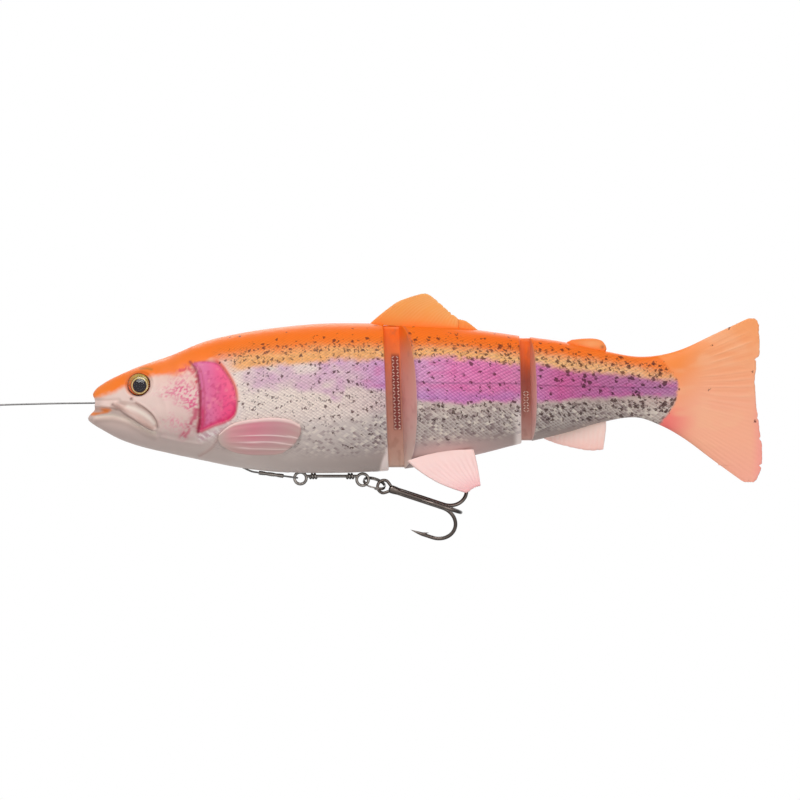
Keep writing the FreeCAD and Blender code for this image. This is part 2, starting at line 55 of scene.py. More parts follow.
# ------------------------------------------------------------ body outline
# Rows of station, back, belly and half width.
OUTLINE = [(-3.4, -2.4, -6.6, 1.6), (-1.8, 3.6, -7.9, 3.6), (2.0, 7.2, -10.2, 5.6), (8.0, 10.4, -13.4, 7.8),
           (16.0, 13.8, -16.2, 9.9), (27.5, 17.8, -18.9, 12.2), (39.4, 22.7, -21.4, 13.9),
           (51.3, 25.6, -23.8, 15.1), (66.0, 27.9, -25.6, 16.2), (84.0, 29.5, -26.2, 16.8),
           (104.8, 29.5, -25.4, 16.4), (122.0, 29.0, -23.2, 15.2), (140.0, 27.2, -19.4, 13.0),
           (156.0, 25.0, -15.4, 10.8), (172.0, 22.8, -11.6, 8.4), (188.0, 19.4, -7.0, 5.9),
           (200.0, 17.3, -5.4, 4.3), (209.0, 17.9, -8.3, 3.5), (217.7, 20.3, -13.2, 2.7),
           (229.0, 25.6, -21.6, 1.7), (241.5, 31.4, -30.6, 1.0), (248.0, 34.3, -35.2, 0.8)]
FULLNESS = 0.12
FRONT_LEAN = math.tan(math.radians(2.1))
REAR_LEAN = math.tan(math.radians(1.1))
FRONT_FACET = math.tan(math.radians(21.5))
REAR_FACET = math.tan(math.radians(13.3))
HEAD_END = 107.1
MIDDLE_START = 112.9
MIDDLE_END = 157.0
TAIL_START = 160.8
WEB_HALF = 1.4
NOSE_START = -3.4          # station of the snout's foremost skin
FIN_END = 246.0            # station up to which the tail's rows are counted
# Rows of height and station of the tail fin's rear edge.
TRAILING = [(-40.0, 220.0), (-31.6, 239.0), (-30.9, 240.9), (-30.1, 242.5), (-28.4, 244.3), (-25.2, 245.9),
            (-20.9, 246.6), (-15.3, 246.2), (-7.3, 245.1), (-1.2, 244.1), (7.5, 243.6), (15.0, 244.2),
            (17.9, 245.4), (24.0, 245.5), (29.0, 245.1), (30.6, 244.5), (31.5, 243.4), (32.1, 242.0),
            (32.6, 240.0), (45.0, 220.0)]

# --------------------------------------------------------------- line and rig
LINE_ROUTE = [(-1.0, 0.0), (-12.0, -0.1), (-26.0, -0.4), (-41.0, -0.85)]
LINE_RADIUS = 0.34
CRIMP_RADIUS = 0.75
CRIMP_FRONT = (59.58, 0.0, -25.87)
CRIMP_SLOPE = math.radians(-7.7)
CRIMP_LENGTH = 9.6
LOOP_RADIUS = 1.15
FRONT_EYE = (75.196, 0.0, -27.934)
REAR_EYE = (98.296, 0.0, -28.484)
BAR_Z = -27.184
GROOVE_RADIUS = 2.35
RING_CENTRE = (102.68, 0.0, -29.89)
RING_SLOPE = math.radians(18.5)
RING_TILT = math.radians(67.0)
HOOK_EYE = (106.273, 0.0, -31.086)
HOOK_SLOPE = math.radians(18.3)
BAR_EYE_RADIUS = 2.19
BAR_WIRE = 0.56
RING_RADIUS = 4.1
RING_WIRE = 0.33
HOOK_EYE_RADIUS = 2.4
HOOK_WIRE = 0.72
HOOK_BEND = 6.8
SHANK_START = 2.1
SHANK_END = 23.1
SPEAR_END = 19.5
POINT_END = 14.5
IRIS_RADIUS = 4.12
DOME_RADIUS = 4.1
DOME_RISE = 1.1
EYE_BACK = -1.35           # back of the iris disc, along the eye's look


# =================================================================== numbers
def tint(r, g, b):
    """Linear colour from the everyday 0-255 values."""
    c = np.array([r, g, b]) / 255.0
    return np.where(c <= 0.04045, c / 12.92, ((c + 0.055) / 1.055) ** 2.4)


def step(a, b, v):
    """Smooth step: 0 below a, 1 above b, 3t2-2t3 between."""
    t = np.clip((v - a) / (b - a), 0.0, 1.0)
    return t * t * (3.0 - 2.0 * t)


def bump(distance, width):
    """Bell curve, 1 at zero distance and 1/e at one width."""
    return np.exp(-((distance / width) ** 2))


def cloud(u, v, seed, octaves=2):
    """Soft seeded noise from -1 to 1: random values on a wrapped lattice, smoothly mixed, octaves halved."""
    total = 0.0
    for k in range(octaves):
        lattice = np.random.default_rng(seed + k).uniform(-1, 1, (64, 64))
        a = u * 2.0**k
        b = v * 2.0**k
        i = np.floor(a).astype(int)
        j = np.floor(b).astype(int)
        p = step(0, 1, a - i)
        q = step(0, 1, b - j)
        near = lattice[i % 64, j % 64] * (1 - p) + lattice[(i + 1) % 64, j % 64] * p
        far = lattice[i % 64, (j + 1) % 64] * (1 - p) + lattice[(i + 1) % 64, (j + 1) % 64] * p
        total = total + (near * (1 - q) + far * q) / 2.0**k
    return total


def rows_at(x, rows):
    """Columns of a table at x, by cubic Hermite with each row's slope taken from its two neighbours."""
    table = np.array(rows, float)
    keys = table[:, 0]
    x = np.clip(x, keys[0], keys[-1])
    i = np.clip(np.searchsorted(keys, x, side="right") - 1, 0, len(keys) - 2)
    a = table[i]
    b = table[i + 1]
    before = table[np.maximum(i - 1, 0)]
    after = table[np.minimum(i + 2, len(keys) - 1)]
    span = (b - a)[..., :1]
    t = (x[..., None] - a[..., :1]) / span
    slope_a = (b - before)[..., 1:] / (b - before)[..., :1] * span
    slope_b = (after - a)[..., 1:] / (after - a)[..., :1] * span
    value = (
        (2 * t**3 - 3 * t**2 + 1) * a[..., 1:]
        + (t**3 - 2 * t**2 + t) * slope_a
        + (3 * t**2 - 2 * t**3) * b[..., 1:]
        + (t**3 - t**2) * slope_b
    )
    return np.moveaxis(value, -1, 0)


def drawn(points, share):
    """Smooth line through points, at shares 0-1 of its chord length; share is an array."""
    p = np.array(points, float)
    run = np.concatenate([[0.0], np.cumsum(np.linalg.norm(np.diff(p, axis=0), axis=1))])
    table = np.column_stack([run / run[-1], p])
    return np.moveaxis(rows_at(np.asarray(share, float), table), 0, -1)


def rounded(points, count=72):
    """Closed outline rounded through its corners."""
    p = list(points)
    ring = p[-2:] + p + p[:3]
    run = np.array(ring, float)
    length = np.concatenate([[0.0], np.cumsum(np.linalg.norm(np.diff(run, axis=0), axis=1))])
    table = np.column_stack([length, run])
    at = np.linspace(length[2], length[2 + len(p)], count, endpoint=False)
    return np.moveaxis(rows_at(at, table), 0, -1)


def to_edge(line, x, z):
    """Distance from one straight edge, given by its two ends."""
    (ax, az), (bx, bz) = line
    dx = bx - ax
    dz = bz - az
    t = np.clip(((x - ax) * dx + (z - az) * dz) / (dx * dx + dz * dz + 1e-12), 0, 1)
    return np.hypot(x - ax - t * dx, z - az - t * dz)


def signed(x, z, outline):
    """Distance to a closed outline, positive inside: nearest of its edges, sign by crossings."""
    best = np.full(np.shape(x), 1e9)
    inside = np.zeros(np.shape(x), bool)
    p = np.asarray(outline, float)
    for (ax, az), (bx, bz) in zip(p, np.roll(p, -1, axis=0)):
        best = np.minimum(best, to_edge(((ax, az), (bx, bz)), x, z))
        if az != bz:
            inside ^= ((az > z) != (bz > z)) & (x < (bx - ax) * (z - az) / (bz - az) + ax)
    return np.where(inside, best, -best)


def to_line(x, z, points, count=24):
    """Distance to an open smooth line."""
    p = drawn(points, np.linspace(0, 1, count))
    best = np.full(np.shape(x), 1e9)
    for ends in zip(p[:-1], p[1:]):
        best = np.minimum(best, to_edge(ends, x, z))
    return best


def stroke(x, z, points, width):
    """Bell curve across a line drawn on the flank."""
    return bump(to_line(x, z, points), width)


def keyed(x, pairs):
    """Value or colour along x, straight between keys."""
    keys = [p[0] for p in pairs]
    values = np.array([np.atleast_1d(p[1]) for p in pairs], float)
    out = np.stack([np.interp(x, keys, values[:, k]) for k in range(values.shape[1])], -1)
    return out[..., 0] if out.shape[-1] == 1 else out


def spot(x, z, centre, reach):
    """Round or oval bell about a centre, 1/e at its reach along x and z."""
    return bump(np.hypot((x - centre[0]) / reach[0], (z - centre[1]) / reach[1]), 1.0)


def over(base, colour, mask):
    """Colour laid over a base through a mask; a plain tuple is a tint."""
    tone = tint(*colour) if isinstance(colour, tuple) else colour
    return base + (tone - base) * np.asarray(mask)[..., None]


def layered(base, *coats):
    """Coats laid over a base in turn, each a colour and its mask."""
    for colour, mask in coats:
        base = over(base, colour, mask)
    return base


def shades(x, *keys):
    """Tint along x, straight between keys of (place, red, green, blue)."""
    return keyed(x, [(place, tint(*rgb)) for place, *rgb in keys])


def opaque(colour):
    """Colour held to 0-1, with a full fourth channel."""
    return np.concatenate([np.clip(colour, 0, 1), np.ones_like(colour[..., :1])], -1)


# ==================================================================== meshes
def quads(rows, cols, wrap_rows=False, wrap_cols=False, first=0):
    """Faces of a grid, row by row; a wrapped side joins its last line to its first."""
    r = np.arange(rows if wrap_rows else rows - 1)[:, None]
    c = np.arange(cols if wrap_cols else cols - 1)[None, :]
    r2 = (r + 1) % rows
    c2 = (c + 1) % cols
    return np.stack([r * cols + c, r2 * cols + c, r2 * cols + c2, r * cols + c2], -1).reshape(-1, 4) + first


def piece(name, parts, material, body, stands_for=(), attributes=None, bend=None, smooth=True):
    """One mesh from (points, faces) parts in millimetres, seams merged and faces turned outward, riding
    on its body; one given a bend stays where it is, on no body."""
    first = 0
    all_points = []
    all_faces = []
    for points, faces in parts:
        flat = np.asarray(points, float).reshape(-1, 3)
        all_points.append(flat)
        all_faces.append(np.asarray(faces) + first)
        first += len(flat)
    points = np.concatenate(all_points) * MM
    mesh = bpy.data.meshes.new(name)
    faces = [row for block in all_faces for row in block.tolist()]
    mesh.from_pydata(points.tolist(), [], faces)
    for key, values in (attributes or {}).items():
        values = np.asarray(values, np.float32).reshape(first, -1)
        if values.shape[1] == 4:
            mesh.attributes.new(key, "FLOAT_COLOR", "POINT").data.foreach_set("color", values.ravel())
        else:
            mesh.attributes.new(key, "FLOAT_VECTOR", "POINT").data.foreach_set("vector", values.ravel())
    work = bmesh.new()
    work.from_mesh(mesh)
    bmesh.ops.remove_doubles(work, verts=work.verts, dist=SEAM_MERGE)
    bmesh.ops.recalc_face_normals(work, faces=work.faces)
    work.to_mesh(mesh)
    work.free()
    mesh.polygons.foreach_set("use_smooth", np.full(len(mesh.polygons), smooth))
    mesh.materials.append(material)
    thing = bpy.data.objects.new(name, mesh)
    bpy.context.collection.objects.link(thing)
    if bend:
        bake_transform(thing)
    else:
        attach(thing, body)
    if stands_for:
        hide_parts(*stands_for)
    return thing


def two_sheets(near, far, rims):
    """Two like grids a thickness apart, joined to each other along the rows named in rims."""
    rows, cols = near.shape[:2]
    count = rows * cols
    k = np.arange(cols - 1)
    joins = [np.stack([k, k + 1, k + 1 + count, k + count], -1) + row * cols for row in rims]
    points = np.concatenate([near.reshape(-1, 3), far.reshape(-1, 3)])
    return points, np.concatenate([quads(rows, cols), quads(rows, cols, first=count), *joins])


def unit(v):
    """Vectors scaled to length one."""
    v = np.asarray(v, float)
    return v / np.maximum(np.linalg.norm(v, axis=-1, keepdims=True), 1e-12)


def tube(path, radius, ref, sides=14, closed=False, flatten=1.0):
    """Round wire: circles of the given radius carried along a path, square to it, closed by a point at
    each end."""
    path = np.asarray(path, float)
    radius = np.broadcast_to(np.asarray(radius, float), (len(path),)).copy()
    if closed:
        along = unit(np.roll(path, -1, axis=0) - np.roll(path, 1, axis=0))
    else:
        along = unit(np.gradient(path, axis=0))
        path = np.concatenate([path[:1], path, path[-1:]])
        along = np.concatenate([along[:1], along, along[-1:]])
        radius = np.concatenate([[0.0], radius, [0.0]])
    side = unit(np.cross(along, np.asarray(ref, float)))
    up = np.cross(side, along)
    turn = np.linspace(0, 2 * np.pi, sides, endpoint=False)
    points = (
        path[:, None]
        + (radius[:, None] * np.cos(turn))[..., None] * side[:, None]
        + (radius[:, None] * np.sin(turn) * flatten)[..., None] * up[:, None]
    )
    return points, quads(len(path), sides, wrap_rows=closed, wrap_cols=True)


def turned(profile, origin, axis, sides=40, ref=(0, 0, 1)):
    """Turned solid: a profile of (radius, height) swept round an axis; its ends lie on the axis."""
    profile = np.asarray(profile, float)
    axis = unit(axis)
    side = unit(np.cross(axis, ref))
    up = np.cross(axis, side)
    turn = np.linspace(0, 2 * np.pi, sides, endpoint=False)
    points = (
        np.asarray(origin, float)
        + profile[:, None, 1:2] * axis
        + (profile[:, None, 0:1] * np.cos(turn)[None, :, None]) * side
        + (profile[:, None, 0:1] * np.sin(turn)[None, :, None]) * up
    )
    return points, quads(len(profile), sides, wrap_cols=True)


# ================================================================= materials
FLOAT = "NodeSocketFloat"
VECTOR = "NodeSocketVector"
COLOUR = "NodeSocketColor"


def feed(tree, made, values):
    """Values put into a node's inputs: a socket is linked, anything else is set."""
    for key, value in values.items():
        if isinstance(value, bpy.types.NodeSocket):
            tree.links.new(value, made.inputs[key])
        else:
            made.inputs[key].default_value = value


def node(tree, kind, inputs=None, **settings):
    """One shader node with its settings and inputs."""
    made = tree.nodes.new(kind)
    for key, value in settings.items():
        setattr(made, key, value)
    feed(tree, made, inputs or {})
    return made


def maths(tree, operation, a, b=0.0, c=0.0, clamp=False):
    """Result socket of one Math node."""
    return node(tree, "ShaderNodeMath", {0: a, 1: b, 2: c}, operation=operation, use_clamp=clamp).outputs[0]


def plus(tree, a, b):
    """Sum of two values."""
    return maths(tree, "ADD", a, b)


def less(tree, a, b):
    """First value less the second."""
    return maths(tree, "SUBTRACT", a, b)


def times(tree, a, b):
    """Product of two values."""
    return maths(tree, "MULTIPLY", a, b)


def mixed(tree, factor, a, b, blend="MIX"):
    """Colour socket that mixes two colours."""
    made = node(tree, "ShaderNodeMix", data_type="RGBA", blend_type=blend)
    a, b = (v if isinstance(v, bpy.types.NodeSocket) else (*v[:3], 1.0) for v in (a, b))
    feed(tree, made, {0: factor, 6: a, 7: b})
    return made.outputs[2]


def ramp(tree, value, low, high, to_low=0.0, to_high=1.0):
    """Value mapped from one range to another, straight between and held outside."""
    ranges = {"From Min": low, "From Max": high, "To Min": to_low, "To Max": to_high}
    return node(tree, "ShaderNodeMapRange", {"Value": value, **ranges}).outputs[0]


def noise(tree, vector, scale, detail, output=0):
    """Soft noise at a scale, as a value or as its Color."""
    inputs = {"Vector": vector, "Scale": scale, "Detail": detail}
    return node(tree, "ShaderNodeTexNoise", inputs).outputs[output]


def carried(tree, name, output="Color"):
    """Attribute that the mesh carries."""
    return node(tree, "ShaderNodeAttribute", attribute_name=name).outputs[output]


def group(name, inputs, outputs):
    """Empty node group: a named input is a vector if it has no default, else a float or a colour; the
    outputs have their kinds. Returns the group, its input sockets and its output node."""
    tree = bpy.data.node_groups.new(name, "ShaderNodeTree")
    for label, default in inputs.items():
        kind = VECTOR if default is None else COLOUR if isinstance(default, tuple) else FLOAT
        socket = tree.interface.new_socket(label, in_out="INPUT", socket_type=kind)
        if default is not None:
            socket.default_value = default
    for label, kind in outputs.items():
        tree.interface.new_socket(label, in_out="OUTPUT", socket_type=kind)
    return tree, tree.nodes.new("NodeGroupInput").outputs, tree.nodes.new("NodeGroupOutput")


def make_scales():
    """Shingled diamonds: two slanting counts of scale rows, height rising to each scale's rear corner.
    The rows that slant down to the tail show above the lateral line and the others below it; each scale
    has its own random value."""
    tree, given, put = group(
        "fish_scales", {"Skin": None, "Length": 1.75, "Height": 1.25},
        {"Relief": FLOAT, "Edge": FLOAT, "Cell": FLOAT}
    )
    place = node(tree, "ShaderNodeSeparateXYZ", {0: given["Skin"]}).outputs
    shift = times(tree, less(tree, noise(tree, given["Skin"], 0.5, 1.0), 0.5), 0.7)
    along = maths(tree, "DIVIDE", plus(tree, place[0], shift), given["Length"])
    round_girth = maths(tree, "DIVIDE", place[1], given["Height"])
    above = ramp(tree, place[2], -0.8, 0.8)
    counts, shares, rims = {}, [], []
    for slant, (turn, line_side) in enumerate(((plus, less(tree, 1.0, above)), (less, above))):
        count = turn(tree, along, round_girth)
        share = maths(tree, "FRACT", count)
        strength = maths(tree, "MULTIPLY_ADD", line_side, 0.3, 0.7)
        counts[slant] = maths(tree, "FLOOR", count)
        shares.append(share)
        rims.append(times(tree, maths(tree, "POWER", share, 3.0), strength))
    number = node(tree, "ShaderNodeCombineXYZ", counts)
    cell = node(tree, "ShaderNodeTexWhiteNoise", {"Vector": number.outputs[0]}, noise_dimensions="2D")
    feed(tree, put, {
        "Relief": times(tree, plus(tree, *shares), 0.5),
        "Edge": maths(tree, "MAXIMUM", *rims),
        "Cell": cell.outputs["Value"],
    })
    return tree


def make_specks():
    """Airbrushed specks: one blot in each cell of a jittered lattice, kept where its random value is
    below the density."""
    tree, given, put = group(
        "airbrushed_specks", {"Skin": None, "Density": 0.5, "Pitch": 2.6, "Size": 0.25}, {"Mask": FLOAT}
    )
    wander = noise(tree, given["Skin"], 0.9, 3.0, "Color")
    for operation, inputs in (
        ("SUBTRACT", {1: (0.5, 0.5, 0.5)}), ("SCALE", {"Scale": 2.6}), ("ADD", {1: given["Skin"]}),
        ("DIVIDE", {1: given["Pitch"]}),
    ):
        wander = node(tree, "ShaderNodeVectorMath", {0: wander, **inputs}, operation=operation).outputs[0]
    cells = node(
        tree, "ShaderNodeTexVoronoi", {"Vector": wander, "Scale": 1.0, "Randomness": 1.0},
        voronoi_dimensions="2D"
    )
    chance = node(tree, "ShaderNodeSeparateColor", {0: cells.outputs["Color"]}).outputs
    kept = maths(tree, "LESS_THAN", chance[0], given["Density"])
    size = times(tree, plus(tree, chance[1], 0.55), given["Size"])
    blot = maths(tree, "DIVIDE", less(tree, size, cells.outputs["Distance"]), 0.10, clamp=True)
    feed(tree, put, {"Mask": times(tree, blot, kept)})
    return tree


def make_grain():
    """Fine uneven surface of cast soft plastic, in metres on Object coordinates."""
    tree, given, put = group("cast_grain", {"Fineness": 900.0}, {"Height": FLOAT, "Cloud": FLOAT})
    place = node(tree, "ShaderNodeTexCoord").outputs["Object"]
    feed(tree, put, {"Height": noise(tree, place, given[0], 2.0), "Cloud": noise(tree, place, 90.0, 2.0)})
    return tree


def make_wear():
    """Handling marks on plated wire: soft blotches and fine draw lines."""
    tree, given, put = group(
        "wire_wear", {"Tone": (0.1, 0.1, 0.11, 1.0), "Worn": (0.35, 0.34, 0.34, 1.0)},
        {"Color": COLOUR, "Roughness": FLOAT, "Height": FLOAT},
    )
    place = node(tree, "ShaderNodeTexCoord").outputs["Object"]
    lines = noise(tree, place, 2400.0, 1.0)
    worn = times(tree, ramp(tree, noise(tree, place, 210.0, 2.0), 0.50, 0.72), 0.40)
    feed(tree, put, {
        "Color": mixed(tree, worn, given["Tone"], given["Worn"]),
        "Roughness": ramp(tree, lines, 0.0, 1.0, 0.10, 0.22),
        "Height": lines,
    })
    return tree


SCALES = make_scales()
SPECKS = make_specks()
GRAIN = make_grain()
WEAR = make_wear()
SPECK_TONE = (0.18, 0.12, 0.12)


def material(name, **constants):
    """Principled material with its constants set; returns it, its tree and its shader node."""
    made = bpy.data.materials.new(name)
    made.use_nodes = True
    shader = made.node_tree.nodes["Principled BSDF"]
    feed(made.node_tree, shader, {key.replace("_", " "): value for key, value in constants.items()})
    return made, made.node_tree, shader


def shared(tree, effect, **inputs):
    """Output sockets of a shared node group placed in a material, its inputs linked or set."""
    return node(tree, "ShaderNodeGroup", inputs, node_tree=effect).outputs


def surfaced(tree, shader, colour, level, smooth, dull):
    """Base colour, and a roughness that runs from smooth to dull as a level goes from 0 to 1."""
    feed(tree, shader, {"Base Color": colour, "Roughness": ramp(tree, level, 0.0, 1.0, smooth, dull)})


def raised(tree, shader, height, distance, strength):
    """Bump from a height socket, of so many metres, into the shader's normal."""
    made = node(tree, "ShaderNodeBump", {"Height": height, "Distance": distance, "Strength": strength})
    feed(tree, shader, {"Normal": made.outputs[0]})


def skin_material(name, pitch, size, scale):
    """Painted soft body: airbrushed colour, scale relief, painted shade between the scales and a painted
    highlight on each, specks, clear coat.
    """
    made, tree, shader = material(
        name, Coat_Weight=0.05, Coat_Roughness=0.2, Specular_IOR_Level=0.18, Subsurface_Weight=0.04,
        Subsurface_Radius=(1.0, 0.45, 0.35), Subsurface_Scale=0.0015,
    )
    paint = carried(tree, "paint")
    skin = carried(tree, "skin", "Vector")
    scaled, density, silvered = node(tree, "ShaderNodeSeparateColor", {0: carried(tree, "masks")}).outputs
    scales = shared(tree, SCALES, Skin=skin, Length=scale, Height=0.7 * scale)
    specks = shared(tree, SPECKS, Skin=skin, Density=density, Pitch=pitch, Size=size)[0]
    thin = times(tree, density, 0.62)
    dust = shared(tree, SPECKS, Skin=skin, Density=thin, Pitch=0.62 * pitch, Size=0.27)[0]
    grain = shared(tree, GRAIN, Fineness=1300.0)
    # Painted shade between the scales, and a painted highlight on each.
    rims = times(tree, scales["Edge"], scaled)
    colour = mixed(tree, times(tree, rims, less(tree, 0.80, silvered)), paint, (0.42, 0.30, 0.38), "MULTIPLY")
    painted_scale_highlight = maths(tree, "POWER", less(tree, 1.0, scales["Relief"]), 1.5)
    painted_scale_highlight = times(tree, painted_scale_highlight, times(tree, scaled, less(tree, 0.62, silvered)))
    highlight_tone = node(tree, "ShaderNodeGamma", {"Color": paint, "Gamma": 0.55})
    colour = mixed(tree, painted_scale_highlight, colour, highlight_tone.outputs[0])
    # Silver net: darker scales with light rims, some bright all over and some dark.
    colour = mixed(tree, times(tree, silvered, 0.75), colour, (0.66, 0.64, 0.65), "MULTIPLY")
    colour = mixed(tree, times(tree, rims, silvered), colour, (0.94, 0.86, 0.80))
    bright = times(tree, ramp(tree, scales["Cell"], 0.80, 0.95), times(tree, silvered, 0.8))
    colour = mixed(tree, bright, colour, (0.94, 0.84, 0.72))
    darkness = maths(tree, "MULTIPLY_ADD", scaled, 0.22, times(tree, silvered, 0.7))
    dark = times(tree, ramp(tree, scales["Cell"], 0.30, 0.05), darkness)
    colour = mixed(tree, dark, colour, (0.36, 0.26, 0.30), "MULTIPLY")
    for blots, strength in ((dust, 0.72), (specks, 0.92)):
        colour = mixed(tree, times(tree, blots, strength), colour, SPECK_TONE, "MULTIPLY")
    surfaced(tree, shader, colour, grain["Cloud"], 0.36, 0.52)
    relief = times(tree, scales["Relief"], scaled)
    raised(tree, shader, maths(tree, "MULTIPLY_ADD", grain["Height"], 0.16, relief), 0.00022, 0.75)
    return made


def fin_material(name):
    """Soft plastic of fins and webs, with its paint carried by the mesh."""
    made, tree, shader = material(
        name, Coat_Weight=0.06, Coat_Roughness=0.3, Specular_IOR_Level=0.3, Subsurface_Weight=0.10,
        Subsurface_Radius=(1.0, 0.5, 0.4), Subsurface_Scale=0.001,
    )
    grain = shared(tree, GRAIN, Fineness=1500.0)
    clouded = times(tree, grain["Cloud"], 0.2)
    colour = mixed(tree, clouded, carried(tree, "paint"), (0.86, 0.72, 0.66), "MULTIPLY")
    surfaced(tree, shader, colour, grain["Cloud"], 0.34, 0.5)
    raised(tree, shader, grain["Height"], 0.00004, 0.6)
    return made


def wire_material(name, tone, worn, metallic=1.0, painted_highlight=0.45):
    """Plated metal wire with soft handling marks, and a painted highlight: lighter where it faces the
    view, darker where it turns away.
    """
    made, tree, shader = material(name, Metallic=metallic, Coat_Weight=0.3, Coat_Roughness=0.08)
    wear = shared(tree, WEAR, Tone=(*tone, 1.0), Worn=(*worn, 1.0))
    # Painted highlight: the worn tone laid over the part of the wire that faces the view.
    facing = node(tree, "ShaderNodeLayerWeight", {"Blend": 0.5}).outputs["Facing"]
    middle = times(tree, ramp(tree, facing, 0.42, 0.04), painted_highlight)
    colour = mixed(tree, middle, wear["Color"], worn)
    feed(tree, shader, {"Base Color": colour, "Roughness": wear["Roughness"]})
    raised(tree, shader, wear["Height"], 0.00001, 0.4)
    return made


def plain_cast(name, tone, deep, fineness=1200.0, distance=0.00005, **constants):
    """Cast or moulded material, two tones clouded together."""
    made, tree, shader = material(name, **constants)
    grain = shared(tree, GRAIN, Fineness=fineness)
    surfaced(tree, shader, mixed(tree, grain["Cloud"], tone, deep), grain["Cloud"], 0.35, 0.6)
    raised(tree, shader, grain["Height"], distance, 0.6)
    return made


def iris_material():
    """Dull printed disc whose colours the mesh carries, under the clear dome."""
    made, tree, shader = material("iris_paint", Specular_IOR_Level=0.0)
    grain = shared(tree, GRAIN, Fineness=2600.0)
    colour = mixed(tree, times(tree, grain["Height"], 0.2), carried(tree, "paint"), (0.02, 0.01, 0.0))
    surfaced(tree, shader, colour, grain["Cloud"], 0.5, 0.6)
    return made


def dome_material():
    """Clear hard plastic with faint cloud in its roughness."""
    made, tree, shader = material("clear_dome", Transmission_Weight=1.0, IOR=1.46)
    surfaced(tree, shader, (0.98, 0.97, 0.95, 1.0), shared(tree, GRAIN, Fineness=900.0)["Cloud"], 0.01, 0.05)
    return made


skin_front = skin_material("painted_skin_front", 1.75, 0.26, 1.75)
skin_middle = skin_material("painted_skin_middle", 1.75, 0.28, 1.9)
skin_tail = skin_material("painted_skin_tail", 2.0, 0.31, 1.85)
soft_fin = fin_material("soft_fin")
web_rubber = fin_material("web_rubber")
net_thread = plain_cast("net_thread", tint(255, 240, 226), tint(236, 206, 190), 2600.0)
line_metal = wire_material("coated_line", tint(84, 82, 82), tint(140, 138, 136), 0.85)
nickel = wire_material("black_nickel", tint(40, 36, 34), tint(196, 186, 178), painted_highlight=0.36)
hook_plating = wire_material("hook_plating", tint(38, 34, 33), tint(136, 122, 114), painted_highlight=0.55)
lead_cast = plain_cast("lead_cast", tint(120, 122, 126), tint(84, 86, 90), 700.0, Metallic=0.8)
tube_plastic = plain_cast("tube_plastic", tint(225, 222, 214), tint(196, 190, 180), 900.0)
woven_mesh = plain_cast("woven_mesh", tint(235, 230, 222), tint(190, 184, 174), 3200.0, 0.0002)
iris_paint = iris_material()
clear_dome = dome_material()

# ============================================================ camera and cord
camera_data = bpy.data.cameras.new("camera")
camera_data.sensor_width = 36.0
camera_data.lens = 242.0
camera_data.clip_end = 20.0
camera = bpy.data.objects.new("camera", camera_data)
camera.location = (0.1122, -1.998, 0.0011)
camera.rotation_euler = (math.radians(90.0), 0.0, 0.0)
bpy.context.collection.objects.link(camera)
bpy.context.scene.camera = camera


def nose_line():
    """Taut line ahead of the nose: one smooth spline through its route's control points."""
    curve = bpy.data.curves.new("nose_line_strand", "CURVE")
    curve.dimensions = "3D"
    spline = curve.splines.new("NURBS")
    spline.points.add(len(LINE_ROUTE) - 1)
    for point, (x, z) in zip(spline.points, LINE_ROUTE):
        point.co = (x * MM, 0.0, z * MM, 1.0)
    spline.order_u = 3
    spline.use_endpoint_u = True
    curve.bevel_depth = LINE_RADIUS * MM
    curve.bevel_resolution = 5
    curve.materials.append(line_metal)
    thing = bpy.data.objects.new("nose_line_strand", curve)
    bpy.context.collection.objects.link(thing)
    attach(thing, "head")
    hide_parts("nose_line")
    return thing


strand = nose_line()


# ============================================================ body surfaces
def section_points(s, inset, shrink, turn, front, rear):
    """Girth points of a section. s runs from its front face to its rear face; y = half.sin(t).(1+f.cos2(t)),
    z = middle + high.cos(t), both less the inset and times the shrink, at the station that the faces give."""
    x = front(0 * turn, 0 * turn) * (1 - s) + rear(0 * turn, 0 * turn) * s
    for _ in range(8):
        back, belly, half = rows_at(x, OUTLINE)
        high = (back - belly) / 2
        y = (half - inset) * np.sin(turn) * (1 + FULLNESS * np.cos(turn) ** 2) * shrink
        z = (back + belly) / 2 + (high - inset) * np.cos(turn) * shrink
        x = front(y, z) * (1 - s) + rear(y, z) * s
    return x, y, z


def flank_y(x, z):
    """Half width of the body's surface at a station and height."""
    back, belly, half = rows_at(x, OUTLINE)
    share = np.clip((z - (back + belly) / 2) / ((back - belly) / 2), -1, 1)
    return half * np.sqrt(1 - share**2) * (1 + FULLNESS * share**2)


def normals_of(points):
    """Outward normals of a grid whose second side goes round: cross product of its two slopes."""
    along = np.gradient(points, axis=0)
    ring = np.concatenate([points[:, -1:], points, points[:, :1]], axis=1)
    across = (ring[:, 2:] - ring[:, :-2]) / 2
    return unit(np.cross(across, along))


SIDES = ((-1, "left"), (1, "right"))
EYE = (15.5, 6.9)
EYE_RADIUS = 4.2
GILL = rounded([(35.4, 14.6), (37.2, 12.3), (38.1, 8.5), (38.8, 4.2), (38.7, -2.2), (38.7, -7.5),
                (38.0, -10.4), (43.6, -8.3), (48.7, -6.5), (51.2, -4.3), (51.9, -1.0), (51.9, 1.6),
                (50.9, 6.3), (48.3, 10.8), (45.6, 14.2), (43.6, 15.3), (39.0, 15.6)])
MAXILLA = rounded([(6.9, 0.4), (10.0, 0.9), (13.0, 0.3), (16.1, -0.7), (18.4, -2.0), (20.7, -4.0),
                   (22.2, -6.6), (22.3, -9.0), (20.4, -9.6), (17.2, -7.4), (14.0, -4.9), (10.8, -3.3),
                   (7.8, -1.4)])
MAXILLA_TOP = [(14.8, 0.2), (16.5, -0.8), (18.9, -2.7), (21.0, -4.7), (22.5, -6.9), (22.8, -8.4)]
MAXILLA_LOW = [(6.2, -0.6), (8.4, -2.0), (11.2, -4.1), (15.5, -6.9), (18.2, -8.6), (20.6, -9.9)]
